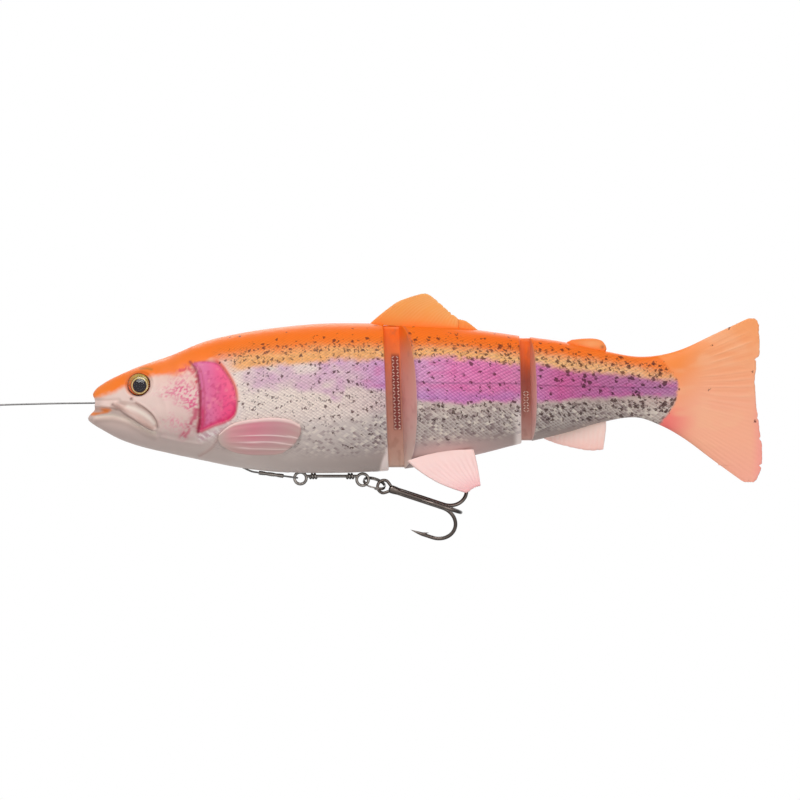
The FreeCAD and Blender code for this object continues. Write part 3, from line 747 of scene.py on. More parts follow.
LIP_RIDGE = [(-0.3, -5.1), (3.0, -4.8), (6.1, -4.8), (11.6, -6.4), (15.9, -8.7), (19.0, -10.4), (21.2, -11.2)]
LIP_LINE = [(-2.4, -0.9), (1.0, -1.2), (4.0, -1.6), (6.0, -1.8), (7.8, -2.3)]
UPPER_LIP = [(-1.8, 1.2), (2.0, 0.8), (5.2, 0.8), (8.0, 0.9)]
JAW_CREASE = [(45.5, -11.0), (44.6, -13.6), (42.0, -17.0), (38.0, -19.5)]
GILL_FRONT = [(34.6, 15.2), (36.9, 12.3), (37.9, 8.5), (38.4, 4.2), (38.4, -2.2), (38.2, -7.0), (37.6, -10.8)]
CHEEK_CREASE = [(23.6, 4.0), (25.6, -1.0), (25.6, -6.0), (24.0, -10.5)]
THROAT_CREASE = [(24.0, -12.5), (31.0, -14.2), (38.5, -15.2)]
LATERAL = [(54.0, 9.2), (88.0, 8.8), (104.0, 8.5), (130.0, 7.4), (155.0, 7.2), (165.0, 6.5), (212.0, 5.6)]
NOSTRIL = (12.9, 1.6)


# Station of the skin inside the open mouth, by height.
MOUTH_RECESS = [(-6.5, -3.9), (-4.9, -3.3), (-4.2, -2.6), (-3.2, -1.5), (-2.4, -0.9), (0.6, -0.9),
                (1.7, -1.2), (2.6, -1.7), (3.6, -1.9), (6.0, -3.9)]


def head_relief(x, y, z, nose):
    """Relief of the head in millimetres along the normal: gill cover, jaws, lips, creases, cheek,
    nostrils."""
    cover = signed(x, z, GILL)
    jaw = signed(x, z, MAXILLA)
    flank = step(0.6, 2.4, np.abs(y))
    rise = 0.95 * step(-0.15, 0.35, cover) * (0.45 + 0.55 * step(38, 47, x))
    rise -= 0.45 * bump(cover + 0.8, 0.9) * step(40, 46, x)
    rise -= 0.30 * stroke(x, z, GILL_FRONT, 0.45) + 0.18 * bump(to_line(x - 1.6, z, GILL_FRONT), 0.35)
    soft = step(17.0, 11.0, x)
    rise += (0.95 * step(-0.25, 0.55, jaw) * (1 - soft) + 0.80 * step(-0.4, 2.0, jaw) * soft) * flank
    for height, line, width in ((-0.55, MAXILLA_TOP, 0.55), (-1.05, MAXILLA_LOW, 0.85),
                                (0.80, LIP_RIDGE, 0.95)):
        rise += height * stroke(x, z, line, width) * flank
    rise -= 1.5 * stroke(x, z, LIP_LINE, 0.75) * step(-3.2, -0.5, x)
    for height, line, width in (
        (0.45, UPPER_LIP, 0.8), (-0.45, JAW_CREASE, 0.6), (-0.25, CHEEK_CREASE, 0.9),
        (-0.35, THROAT_CREASE, 0.7),
    ):
        rise += height * stroke(x, z, line, width)
    rise += 0.30 * cloud(x / 6.0, z / 5.0, 31) * step(18, 24, x) * step(40, 34, x) * flank
    hole = np.hypot(x - NOSTRIL[0], z - NOSTRIL[1])
    rise += 0.16 * bump(hole - 0.85, 0.3) * flank - 0.6 * bump(hole, 0.42) * flank
    rise *= step(0.0, 0.2, nose)
    rise -= 0.10 * stroke(x, z, LATERAL, 0.5) * step(52, 58, x)
    return rise


def skin_relief(x, z):
    """Relief of the plain flanks: lateral line and faint hand-shaped unevenness."""
    rise = -0.10 * stroke(x, z, LATERAL, 0.5)
    return rise + 0.05 * cloud(x / 9.0, z / 7.0, 41)


# Rows of station and height: lower edges of the colour zones, and upper edge of the silver net.
ORANGE_LOW = [(-4, 1.2), (-1, 2.0), (0, 2.3), (6, 3.9), (10.4, 5.2), (13, 8.0), (20.6, 9.9), (27.4, 10.6),
              (31.7, 11.8), (35, 14.0), (44, 16.6), (50, 17.4), (60, 19.2), (90, 20.6), (130, 20.6),
              (163, 17.6), (190, 14.0), (212, 10.6), (250, 10.6)]
YELLOW_LOW = [(-4, 1.0), (44, 15.5), (50, 13.0), (90, 15.4), (130, 17.2), (163, 14.3), (190, 10.5),
              (212, 8.5)]
BAND_LOW = [(50, 4.0), (80, 4.5), (86, 3.0), (88, 0.6), (90.5, 1.0), (92.5, 6.2), (98, 6.4), (103, 5.0),
            (107, 3.6), (113, 1.4), (130, 0.6), (163, 0.2), (190, 2.0), (212, 3.0)]
NET_TOP = [(50, -7.5), (80, -8.0), (96, -6.5), (104, -5.0), (112, 0.4), (130, -0.4), (163, -0.8), (190, 1.0),
           (212, 2.4)]
SILVER_LOW = [(50, -6.0), (90, -8.0), (130, -8.5), (163, -6.5), (190, -3.5), (212, -6.0)]
SMOOTH_LOW = [(50, -17.0), (90, -20.0), (130, -15.0), (163, -11.0), (190, -7.0), (212, -12.0)]
PALE_CORNER = [(104.4, -26.5), (105.4, -22.0), (106.6, -18.6), (107.9, -14.0), (111.0, -14.0), (111.0, -26.5)]


def body_paint(x, y, z):
    """Airbrushed colours of the flanks, laid from belly to back, each edge softened and made to wander."""
    side = 11.0 * (y > 0)
    wander = cloud(x / 9.0 + side, z / 6.0, 3)
    fine = cloud(x / 1.7 + side, z / 1.4, 7)
    h = z + 0.8 * wander + 0.5 * fine
    belly = shades(x, (-3, 200, 176, 166), (30, 206, 190, 184), (60, 212, 196, 189), (105, 186, 170, 164),
                   (140, 190, 168, 164), (200, 190, 166, 160))
    silver = shades(x, (50, 242, 227, 217), (85, 226, 210, 202), (105, 196, 180, 176), (115, 190, 172, 164),
                    (150, 180, 160, 154), (165, 186, 166, 160), (180, 190, 168, 158), (198, 210, 188, 176),
                    (212, 214, 192, 180))
    cream = shades(x, (50, 252, 236, 222), (85, 250, 230, 216), (105, 228, 200, 196), (130, 226, 204, 190),
                   (165, 206, 176, 168), (212, 200, 160, 150))
    band = shades(x, (50, 238, 208, 206), (58, 226, 182, 204), (80, 226, 178, 204), (92, 220, 156, 202),
                  (104, 218, 150, 200), (114, 222, 156, 204), (124, 228, 146, 198), (132, 236, 122, 184),
                  (144, 234, 118, 178), (156, 220, 118, 170), (162, 214, 116, 176), (172, 206, 84, 146),
                  (186, 188, 92, 148), (198, 184, 96, 150), (212, 188, 110, 158))
    yellow = shades(x, (46, 255, 182, 112), (60, 255, 176, 92), (90, 255, 172, 84), (130, 255, 176, 88),
                    (163, 255, 190, 112), (212, 255, 182, 116))
    orange = shades(x, (-4, 252, 136, 50), (20, 255, 128, 38), (60, 255, 122, 24), (110, 255, 116, 14),
                    (160, 255, 112, 14), (212, 255, 124, 34))
    colour = over(belly, silver, step(-4.0, 3.0, h - keyed(x, SMOOTH_LOW)))
    grey = keyed(x, [(50, 0.10), (90, 0.42), (106, 0.55), (125, 0.45), (150, 0.50), (168, 0.92), (190, 0.62),
                     (212, 0.15)])
    colour = over(colour, (158, 142, 136), grey * step(6.0, -5.0, h - keyed(x, SMOOTH_LOW) - 7.0))
    colour = over(colour, (255, 236, 222), 0.6 * step(-9.0, -4.0, z) * step(106, 97, x)
                  * step(1.0, -1.0, h - keyed(x, BAND_LOW)))
    rose = spot(x, z, (130.0, -17.5), (17.0, 4.5))
    colour = over(colour, (232, 190, 186), 0.75 * rose)
    colour = over(colour, cream, step(-2.5, 2.5, h - keyed(x, SILVER_LOW) - 5.0) * 0.8)
    patch = 0.55 + 0.45 * step(92, 106, x) + 0.5 * cloud(x / 5.0 + side, z / 3.2, 17) * step(104, 86, x)
    inside = step(-1.2, 1.2, h - keyed(x, BAND_LOW)) * step(50, 57, x)
    colour = over(colour, band, inside * np.clip(patch, 0, 1))
    deep = inside * step(0.0, 0.8, cloud(x / 4.0 + side, z / 1.6, 19)) * step(84, 110, x)
    colour = over(colour, (220, 84, 154), 0.42 * deep)
    violet = inside * bump(h - keyed(x, BAND_LOW) - 1.8, 2.0) * step(100, 112, x)
    colour = layered(
        colour,
        ((156, 112, 196), 0.38 * violet * keyed(x, [(150, 1.0), (168, 0.25)])),
        ((104, 40, 90), 0.55 * stroke(x, z, LATERAL, 0.28) * step(104, 118, x)),
        (yellow, step(-1.5, 1.5, h - keyed(x, YELLOW_LOW))),
        (orange, step(-2.2, 2.2, h - keyed(x, ORANGE_LOW))),
        ((255, 236, 230), 0.85 * step(-0.5, 0.5, signed(x, z, PALE_CORNER))),
    )
    return colour


def head_paint(x, y, z, colour):
    """Colours of the head, over the flank colours ahead of the gill cover's rear edge."""
    side = 11.0 * (y > 0)
    wander = cloud(x / 5.0 + side, z / 4.0, 5)
    fine = cloud(x / 1.1 + side, z / 1.1, 9)
    front = step(54.0, 46.0, x)
    cheek = shades(z, (-20, 204, 186, 179), (-12, 208, 186, 179), (-7, 220, 194, 185), (-2, 236, 210, 200),
                   (4, 240, 212, 202), (12, 240, 198, 182))
    orange = shades(x, (-4, 252, 140, 62), (8, 255, 128, 38), (26, 255, 130, 46), (50, 255, 122, 24))
    base = over(cheek, orange, step(-1.5, 1.5, z + 0.9 * wander + 0.3 * fine - keyed(x, ORANGE_LOW)))
    colour = over(colour, base, front)
    dots = step(-0.05, 0.40, cloud(x / 0.55 + side, z / 0.55, 13))
    pinkish = spot(x, z, (33.0, 0.5), (8.0, 7.5)) * np.clip(0.6 + 0.8 * wander, 0, 1)
    colour = over(colour, (228, 92, 142), np.clip(1.7 * pinkish, 0, 1) * dots)
    colour = over(colour, (236, 176, 178), 0.25 * spot(x, z, (31.0, 1.0), (8.0, 8.0)))
    for tone, strength, line, width in (
        ((214, 62, 84), 0.85, [(30.8, 11.6), (33.6, 12.8), (35.8, 11.2), (37.0, 7.0)], 1.35),
        ((196, 44, 96), 0.80, [(37.0, -2.0), (36.2, -6.0), (34.0, -9.5), (32.2, -12.0)], 1.5),
    ):
        smear = stroke(x, z, line, width) * step(-0.6, 0.4, fine)
        colour = over(colour, tone, strength * smear)
    fore = [(37.2, 12.6), (38.3, 8.5), (38.9, 4.0), (38.9, -1.0), (38.5, -6.0), (37.6, -10.0)]
    colour = over(colour, (190, 40, 78), 0.9 * stroke(x, z, fore, 0.95) * step(-1.0, 0.3, fine))
    skirt = [(38.8, -12.6), (42.0, -11.6), (45.5, -9.6), (48.6, -7.0)]
    pleats = step(-0.2, 0.5, cloud((x + z) / 0.8 + side, (x - z) / 4.0, 18))
    colour = over(colour, (250, 238, 236), 0.8 * stroke(x, z, skirt, 1.5) * pleats)
    colour = over(colour, (196, 130, 158), 0.5 * stroke(x, z, skirt, 1.5) * (1 - pleats))
    jaw = signed(x, z, MAXILLA)
    colour = over(colour, (228, 200, 190), 0.6 * step(-0.3, 0.8, jaw))
    # Painted shade: the upper jaw darker toward its lower edge.
    colour = over(colour, (180, 144, 132), 0.55 * stroke(x, z, MAXILLA_LOW, 2.0) * step(-0.2, 0.5, jaw))
    # Painted highlight along the upper jaw's middle; painted shade in the creases along its upper and lower
    # edges and in the mouth's cleft; the lip ridge lighter, partly its own pale colour and partly a painted
    # highlight, with painted shadow just below it.
    for tone, strength, line, width in (
        ((252, 238, 226), 0.75, [(11.5, -1.2), (15.0, -2.8), (18.4, -5.0), (21.2, -7.6)], 0.9),
        ((140, 92, 82), 0.55, MAXILLA_TOP, 0.45),
        ((118, 78, 68), 0.68, MAXILLA_LOW, 0.62),
        ((246, 228, 214), 0.90, LIP_RIDGE, 0.80),
        ((150, 128, 118), 0.35, [(px, pz - 1.7) for px, pz in LIP_RIDGE], 1.0),
        ((136, 84, 66), 0.5, LIP_LINE, 0.5),
    ):
        colour = over(colour, tone, strength * stroke(x, z, line, width))
    lip = rounded([(-2.4, -2.6), (-0.8, -1.9), (2.0, -1.8), (5.6, -2.1), (4.2, -3.3), (1.0, -4.0),
                   (-2.4, -4.4)])
    colour = layered(
        colour,
        ((252, 140, 66), 0.95 * step(-0.6, 0.5, signed(x, z, lip) + 0.25 * fine)),
        # Painted shade in the jaw crease.
        ((186, 150, 142), 0.55 * stroke(x, z, JAW_CREASE, 0.6)),
        ((150, 116, 50), 0.55 * stroke(x, z, [(16.0, 12.6), (18.0, 12.8), (20.2, 12.5)], 0.5)),
        # Painted shade in the nostril pit.
        ((120, 74, 62), 0.85 * bump(np.hypot(x - NOSTRIL[0], z - NOSTRIL[1]), 0.5)),
    )
    rim = np.hypot(x - EYE[0], z - EYE[1])
    colour = over(colour, (236, 118, 54), 0.8 * bump(rim - EYE_RADIUS - 0.25, 0.7)
                  * step(17.5, 12.0, x - 0.5 * (z - 7)))
    colour = over(colour, (120, 60, 40), 0.7 * bump(rim - EYE_RADIUS + 0.05, 0.28))
    gill = shades(x + 0.25 * (z - 2.0), (36, 216, 120, 160), (41, 228, 120, 162), (47, 240, 98, 146),
                  (52, 255, 112, 146))
    gill = layered(
        gill,
        ((204, 96, 160), 0.30 * step(1, 12, z) * step(46, 40, x)),
        ((250, 70, 128), 0.55 * spot(x, z, (49.5, -4.5), (4.5, 6.0))),
        ((196, 50, 110), 0.45 * step(0.0, 0.7, cloud(x / 0.9 + side, z / 0.9, 15))),
        ((250, 160, 170), 0.35 * step(0.45, 0.9, cloud(x / 1.6 + side, z / 1.6, 16))),
    )
    cover = signed(x, z, GILL)
    gill = over(gill, (214, 36, 96), 0.75 * bump(cover - 0.5, 0.9) * step(2.0, -4.0, z))
    colour = layered(
        colour,
        ((240, 222, 216), 0.7 * bump(cover + 1.4, 1.0) * step(4, -4, z) * step(40, 44, x)),
        ((236, 74, 58), 0.85 * bump(cover + 0.35, 0.65) * step(-2.0, 4.0, z) * step(42, 45, x)),
        ((196, 52, 84), 0.8 * bump(cover + 0.15, 0.45) * step(4.0, -1.0, z)),
        (gill, step(-0.15, 0.35, cover)),
        ((140, 30, 62), 0.85 * stroke(x, z, GILL_FRONT, 0.5)),
        ((190, 70, 96), 0.5 * bump(to_line(x - 1.6, z, GILL_FRONT), 0.35)),
    )
    return colour


def facet_paint(y, z):
    """Bare cast plastic of the faces at the joints, orange at the back and paler to the belly."""
    colour = shades(z, (-24, 224, 204, 194), (-16, 216, 190, 182), (0, 232, 182, 176), (10, 234, 176, 164),
                    (18, 232, 160, 132), (22, 238, 144, 96), (25, 255, 134, 50), (28, 255, 124, 30))
    return over(colour, (190, 120, 120), 0.25 * step(0.2, 1.0, cloud(y / 3.0, z / 3.0, 23)))


def tail_paint(x, z, colour):
    """Peach tail fin behind the arc where the flank's paint ends, and how far each point is on it."""
    rear = shades(z, (-35, 255, 176, 156), (-15, 255, 180, 148), (0, 255, 178, 144), (15, 255, 172, 124),
                  (30, 255, 166, 106))
    root = shades(z, (-14, 255, 150, 130), (-9, 255, 124, 120), (-5, 255, 132, 122), (-1, 255, 166, 130),
                  (5, 255, 162, 114), (14, 255, 146, 72))
    fan = over(root, rear, step(211, 226, x - 0.2 * z))
    fan = over(fan, (255, 192, 150), 0.35 * step(0.0, 1.0, cloud(x / 9.0, z / 4.0, 29)))
    rim = step(242.0, 246.5, x) * step(6.0, -8.0, z)
    fan = over(fan, (255, 152, 150), 0.55 * rim)
    arc = 215.2 - 0.045 * (z - 4.5) ** 2 + 0.5 * cloud(x / 2.0, z / 2.0, 27)
    return over(colour, fan, step(-0.7, 0.7, x - arc)), step(-0.7, 0.7, x - arc)


def speck_density(x, z):
    """Share of speck cells that are kept: thick under the orange and below the band, thin inside it."""
    over_band = bump(z - keyed(x, YELLOW_LOW) - 3.0, 5.8)
    over_band = over_band * keyed(x, [(50, 0.62), (105, 0.66), (160, 0.66), (212, 0.72)])
    under_band = bump(z - keyed(x, BAND_LOW) + 3.6, 4.6)
    under_band = under_band * keyed(x, [(50, 0.40), (70, 0.48), (95, 0.56), (112, 0.64), (140, 0.70),
                                        (165, 0.78), (212, 0.85)])
    inside = keyed(x, [(50, 0.26), (92, 0.26), (105, 0.16), (112, 0.11), (155, 0.12), (170, 0.14),
                       (190, 0.28), (212, 0.45)])
    low = step(-9.0, -16.0, z - keyed(x, BAND_LOW))
    base = np.maximum(np.maximum(over_band, under_band), inside * (1 - 0.7 * low))
    base = base * step(0.0, 4.0, z - keyed(x, SMOOTH_LOW))
    cleared = keyed(x, [(50, 0.78), (104, 0.78), (112, 0.62), (158, 0.70), (168, 0.88)])
    base = base * (1 - cleared * step(1.5, 6.0, z - keyed(x, ORANGE_LOW)))
    return base * step(44, 54, x)


def silvering(x, z):
    """How far the flank is silvered: the net of light scale rims below the band, and a little in the
    yellow."""
    below = step(2.0, -2.0, z - keyed(x, NET_TOP))
    below = below * keyed(x, [(50, 0.30), (85, 0.50), (110, 0.60), (212, 0.60)])
    return below + 0.12 * bump(z - keyed(x, YELLOW_LOW) - 2.0, 3.0)


def arc_rows(radius, length, parts=7):
    """Rounded rim between a face and the flank: quarter circle, as (share of length, inset)."""
    turn = np.linspace(0, np.pi / 2, parts)
    return radius * (1 - np.cos(turn)) / length, radius * (1 - np.sin(turn))


def section_rows(length, count, radius, cap_rows, front_cap, rear_cap):
    """Rows of a section's skin: front face out from its centre, rounded rim, flank, rim, rear face."""
    share, inset = arc_rows(radius, length)
    body = np.linspace(share[-1], 1 - share[-1], count)[1:-1]
    spread = np.linspace(0, 1, cap_rows)[:-1] ** 0.8
    s = [np.zeros(cap_rows - 1) if front_cap else [], share if front_cap else [], body]
    i = [np.full(cap_rows - 1, radius) if front_cap else [], inset if front_cap else [], 0 * body]
    k = [spread if front_cap else [], 1 + 0 * share if front_cap else [], 1 + 0 * body]
    if rear_cap:
        s += [1 - share[::-1], np.ones(cap_rows - 1)]
        i += [inset[::-1], np.full(cap_rows - 1, radius)]
        k += [1 + 0 * share, spread[::-1]]
    s, i, k = [np.concatenate(v)[:, None] for v in (s, i, k)]
    return s, i, k


def girth_of(y, z):
    """Distance round the girth from the back, signed by flank."""
    count = y.shape[1]
    stepping = np.hypot(np.diff(y, axis=1, append=y[:, :1]), np.diff(z, axis=1, append=z[:, :1]))
    run = np.concatenate([np.zeros((len(y), 1)), np.cumsum(stepping, axis=1)[:, :-1]], axis=1)
    whole = stepping.sum(axis=1, keepdims=True)
    return np.where(np.arange(count)[None, :] <= count // 2, run, run - whole)


def skin_attributes(x, y, z, colour, scale_mask, density):
    """Paint, skin coordinates in millimetres, and the scale and speck masks."""
    girth = girth_of(y, z)
    scale_mask = scale_mask * (1 - 0.85 * step(0.0, 5.0, z - keyed(x, ORANGE_LOW)))
    return {
        "paint": opaque(colour),
        "skin": np.stack([x, girth, z - keyed(x, LATERAL)], -1),
        "masks": np.stack([scale_mask, density, silvering(x, z) * scale_mask, 1 + 0 * x], -1),
    }


def round_turn(count):
    """Angles once round the girth from the back, as one row."""
    return (np.arange(count) * 2 * np.pi / count)[None, :]


def head_skin():
    """Front section: snout dome, jaws, gill cover, flank, and the leaning flat face at the joint."""
    turn = round_turn(336)
    length = HEAD_END - NOSE_START
    s, inset, shrink = section_rows(length, 10, 0.5, 13, False, True)
    nose_s = np.concatenate([np.linspace(0, 5.6, 30), np.linspace(5.6, 28.0, 66)[1:],
                             np.linspace(28.0, length, 174)[1:-3]])
    dome = np.linspace(0, 1, 9)[:-1]
    plain = len(dome)
    s = np.concatenate([np.zeros((plain, 1)), nose_s[:, None] / length, s[plain:]])
    inset = np.concatenate([np.zeros((plain + len(nose_s), 1)), inset[plain:]])
    shrink = np.concatenate([dome[:, None] ** 0.7, np.ones((len(nose_s), 1)), shrink[plain:]])
    x, y, z = section_points(
        s, inset, shrink, turn, lambda y, z: NOSE_START + 0 * y, lambda y, z: HEAD_END - FRONT_LEAN * z
    )
    x = x - 0.5 * (1 - shrink**2) * (s == 0)
    points = np.stack([x, y, z], -1)
    normal = normals_of(points)
    side_rows = np.broadcast_to((shrink >= 1) & (inset < 0.1) & (s > 0), x.shape)
    nose = np.clip((s * length) / 1.0, 0, 1)
    rise = head_relief(x, y, z, nose) * side_rows
    for sign in (-1, 1):
        centre, look = eye_seat(sign)
        offset = points - centre
        depth = offset @ look
        reach = np.linalg.norm(offset - depth[..., None] * look, axis=-1)
        near = (y * sign > 0) & (np.abs(depth) < 6)
        rise = np.where(near, rise * step(3.9, 5.6, reach), rise)
        well = np.where(near, step(4.35, 4.1, reach), 0)
        points = points - ((depth - EYE_BACK) * well)[..., None] * look
        rise = rise + np.where(near, 0.55 * bump(reach - 4.75, 0.42) - 0.12 * bump(reach - 5.8, 0.5), 0)
    points = points + normal * rise[..., None]
    # The mouth's opening, pushed back to the recess that the lips leave.
    open_mouth = step(-4.0, -3.0, z) * step(2.4, 1.4, z) * step(3.0, 0.5, x)
    gape = step(2.4, 0.6, np.abs(y)) * step(-3.6, -2.4, z) * step(1.8, 0.8, z)
    recess = keyed(points[..., 2], MOUTH_RECESS) + 0.9 * gape
    points[..., 0] = np.where(points[..., 0] < 2.0, np.maximum(points[..., 0], recess), points[..., 0])
    # Groove along the belly that the wire bar lies in, and the hole that the line comes out of.
    belly = points[..., 2]
    groove = BAR_Z + np.sqrt(np.clip(GROOVE_RADIUS**2 - y**2, 0, None))
    within = (np.abs(y) < GROOVE_RADIUS) & (x > 71.2) & (x < 102.2) & (belly < 0)
    points[..., 2] = np.where(within & (belly < groove), groove, belly)
    hole = np.hypot(np.hypot(x - 53.8, y), (belly + 24.0) * 0.3)
    points[..., 2] += np.where((belly < -18), 2.2 * step(1.15, 0.75, hole), 0)
    colour = head_paint(x, y, z, body_paint(x, y, z))
    end_face = np.broadcast_to((s > 0.5) & (inset > 0.25), x.shape)
    colour = np.where(end_face[..., None], facet_paint(y, z), colour)
    colour = over(colour, (214, 190, 182), open_mouth * 0.8)
    behind = step(0.3, 2.5, -signed(x, z, GILL)) * step(45.0, 54.0, x + 0.35 * np.abs(z - 2))
    scale_mask = behind * step(-2.0, 3.0, z - keyed(x, SMOOTH_LOW)) * side_rows
    scale_mask = scale_mask * keyed(x, [(50, 0.72), (88, 0.84), (104, 1.0)])
    density = speck_density(x, z) * side_rows * step(0.2, -0.6, signed(x, z, GILL))
    return piece(
        "front_section_skin", [(points, quads(*x.shape, wrap_cols=True))], skin_front, "head",
        ["head_section"], skin_attributes(x, y, z, colour, scale_mask, density),
    )


def eye_seat(sign):
    """Centre of an eye on the skin and the way that it looks."""
    x, z = EYE
    y = float(flank_y(np.array(x), np.array(z)))
    look = unit([-math.sin(math.radians(12)), sign * math.cos(math.radians(12)), 0.22])
    return np.array([x, sign * y, z]), look


def middle_skin():
    """Middle section: wedge of two facets in front, scaled flanks, leaning flat rear face, slit under the
    dorsal fin."""
    turn = round_turn(400)
    s, inset, shrink = section_rows(MIDDLE_END - MIDDLE_START, 150, 0.5, 26, True, True)
    front = lambda y, z: MIDDLE_START + FRONT_FACET * np.clip(np.abs(y) - WEB_HALF, 0, None) - FRONT_LEAN * z
    x, y, z = section_points(s, inset, shrink, turn, front, lambda y, z: MIDDLE_END - REAR_LEAN * z)
    under_fin = 28.9 + (x - 104.5) * (27.8 - 28.9) / 29.4
    z = np.where(x < 134.2, np.minimum(z, under_fin), z)
    points = np.stack([x, y, z], -1)
    flank = np.broadcast_to((shrink >= 1) & (inset < 0.1), x.shape)
    points = points + normals_of(points) * (skin_relief(x, z) * flank)[..., None]
    colour = body_paint(x, y, z)
    strip = step(153.5, 156.0, x + REAR_LEAN * z) * step(4.0, -4.0, z)
    colour = over(colour, (248, 232, 226), 0.9 * strip)
    face = np.broadcast_to((shrink < 1) | (inset > 0.2), x.shape)
    colour = np.where(face[..., None], facet_paint(y, z), colour)
    # Painted shade: the flank darker within 1.6 mm of its front face, next to the joint.
    rim = step(0.0, 1.0, (x - front(y, z)) / 1.6)
    colour = over(colour, (118, 62, 84), 0.35 * (1 - rim) * flank)
    scale_mask = step(-2.0, 3.0, z - keyed(x, SMOOTH_LOW)) * flank
    density = speck_density(x, z) * flank
    return piece(
        "middle_section_skin", [(points, quads(*x.shape, wrap_cols=True))], skin_middle, "middle",
        ["middle_section"], skin_attributes(x, y, z, colour, scale_mask, density),
    )


def tail_skin():
    """Tail section and tail fin in one skin: wedge in front, scaled wrist,
    thin ribbed fan with ridges that spread from the root, and a ragged rear edge that closes on
    itself."""
    turn = round_turn(424)
    front = lambda y, z: TAIL_START + REAR_FACET * np.clip(np.abs(y) - WEB_HALF, 0, None) - REAR_LEAN * z
    notch = lambda z: (
        0.16 * cloud(z / 2.6, 0 * z, 51, 1) + 0.07 * cloud(z / 0.8, 0 * z, 53, 1) - 1.0 * bump(z - 16.3, 0.55)
        - 0.45 * bump(z + 5.6, 0.4) - 0.7 * bump(z + 13.3, 0.5) - 0.9 * bump(z + 23.3, 0.5)
    )
    rear = lambda y, z: keyed(z, TRAILING) + notch(z)
    s, inset, shrink = section_rows(FIN_END - TAIL_START, 196, 0.45, 18, True, False)
    edge = np.linspace(0, 1, 7)[1:, None]
    s = np.concatenate([s, np.ones((6, 1))])
    inset = np.concatenate([inset, np.zeros((6, 1))])
    shrink = np.concatenate([shrink, np.ones((6, 1))])
    close = np.concatenate([np.zeros((len(s) - 6, 1)), edge])
    x, y, z = section_points(s, inset, shrink, turn, front, rear)
    fan = step(206.0, 224.0, x)
    lean = np.arctan2(z - 6.0, x - 196.0)
    along_fin = step(214.0, 232.0, x)
    ridge = np.cos(lean * 92.0 + 0.5 * np.sin(x / 7.0) + 1.6 * cloud(lean * 9.0, x / 26.0, 57, 1))
    upper = step(-8.0, 4.0, z) * step(29.0, 22.0, z) * step(221.0, 231.0, x) * step(245.0, 241.0, x)
    line = np.clip(ridge, 0, 1) ** 5 * (0.45 + 0.55 * step(-0.3, 0.5, cloud(lean * 14.0, x / 8.0, 59, 1)))
    relief = along_fin * ((0.02 + 0.20 * upper) * line - 0.06 * upper + 0.02 * np.cos(lean * 190.0))
    thin = 1.0 - 0.30 * step(225.0, 246.0, x)
    y = y * (1 - fan * (1 - thin))
    flat = np.minimum(np.abs(y), 0.55 + 0.035 * np.clip(246 - x, 0, 60))
    y = np.where(x > 217, np.sign(y) * (np.abs(y) * (1 - along_fin) + flat * along_fin), y)
    y = y + np.sign(y) * relief * np.clip(np.abs(y) / 0.6, 0, 1)
    y = y * np.sqrt(np.clip(1 - close**2, 0, 1))
    x = x + 0.35 * close
    points = np.stack([x, y, z], -1)
    flank = np.broadcast_to((shrink >= 1) & (inset < 0.1) & (close == 0), x.shape)
    rise = skin_relief(x, z) * flank * (1 - fan)
    points = points + normals_of(points) * rise[..., None]
    colour, finned = tail_paint(x, z, body_paint(x, y, z))
    face = np.broadcast_to(((shrink < 1) | (inset > 0.2)) & (s < 0.5), x.shape)
    colour = np.where(face[..., None], facet_paint(y, z), colour)
    colour = over(colour, (240, 128, 84), 0.14 * along_fin * step(0.3, 1.0, -ridge) * upper)
    colour = over(colour, (255, 206, 170), 0.20 * along_fin * line * upper)
    scale_mask = step(-2.0, 2.0, z - keyed(x, SMOOTH_LOW)) * flank * (1 - finned)
    density = np.maximum(speck_density(x, z) * (1 - finned), 0.003 * finned) * flank
    return piece(
        "tail_skin", [(points, quads(*x.shape, wrap_cols=True))], skin_tail, "tail",
        ["tail_section", "tail_fin"], skin_attributes(x, y, z, colour, scale_mask, density),
        bend=("tail", "tail_fin", (0.2055, 0.0, 0.006), (0.2225, 0.0, 0.006)),
    )


# ====================================================================== fins
def spaced(count):
    """Shares 0-1, closer together at both ends."""
    return (1 - np.cos(np.linspace(0, np.pi, count))) / 2


def fan_patch(lead, trail, root, margin, nu=46, nv=64):
    """Patch between four edges: ruled both ways, less the corners' own patch. u runs root to margin, v
    lead to trail."""
    u = spaced(nu)[:, None]
    v = spaced(nv)[None, :]
    left = drawn(lead, u[:, 0])[:, None]
    right = drawn(trail, u[:, 0])[:, None]
    low = drawn(root, v[0])[None, :]
    high = drawn(margin, v[0])[None, :]
    uu = u[..., None]
    vv = v[..., None]
    corners = (
        (1 - uu) * (1 - vv) * low[:, :1] + (1 - uu) * vv * low[:, -1:]
        + uu * (1 - vv) * high[:, :1] + uu * vv * high[:, -1:]
    )
    flat = (1 - vv) * left + vv * right + (1 - uu) * low + uu * high - corners
    return flat, u + 0 * v, v + 0 * u


def fin_thickness(u, v, thickness, ray_facts):
    """Half thickness: tapers root to margin, round at the edges, rays as rounded ridges with a little
    scatter."""
    base, tip = thickness
    rays, depth, long, wide, seed = ray_facts
    edge = np.minimum(np.minimum(v, 1 - v) * wide, (1 - u) * long)
    round_edge = np.sqrt(np.clip(1 - (1 - np.clip(edge / 0.7, 0, 1)) ** 2, 0, 1))
    phase = v * rays + 0.12 * cloud(u * 3, v * 8, seed, 1)
    ray = np.abs(np.cos(np.pi * phase)) ** 1.5
    fade = step(0.02, 0.25, u) * step(1.0, 0.85, u)
    return (base + (tip - base) * u + depth * (ray - 0.4) * fade) * round_edge, ray


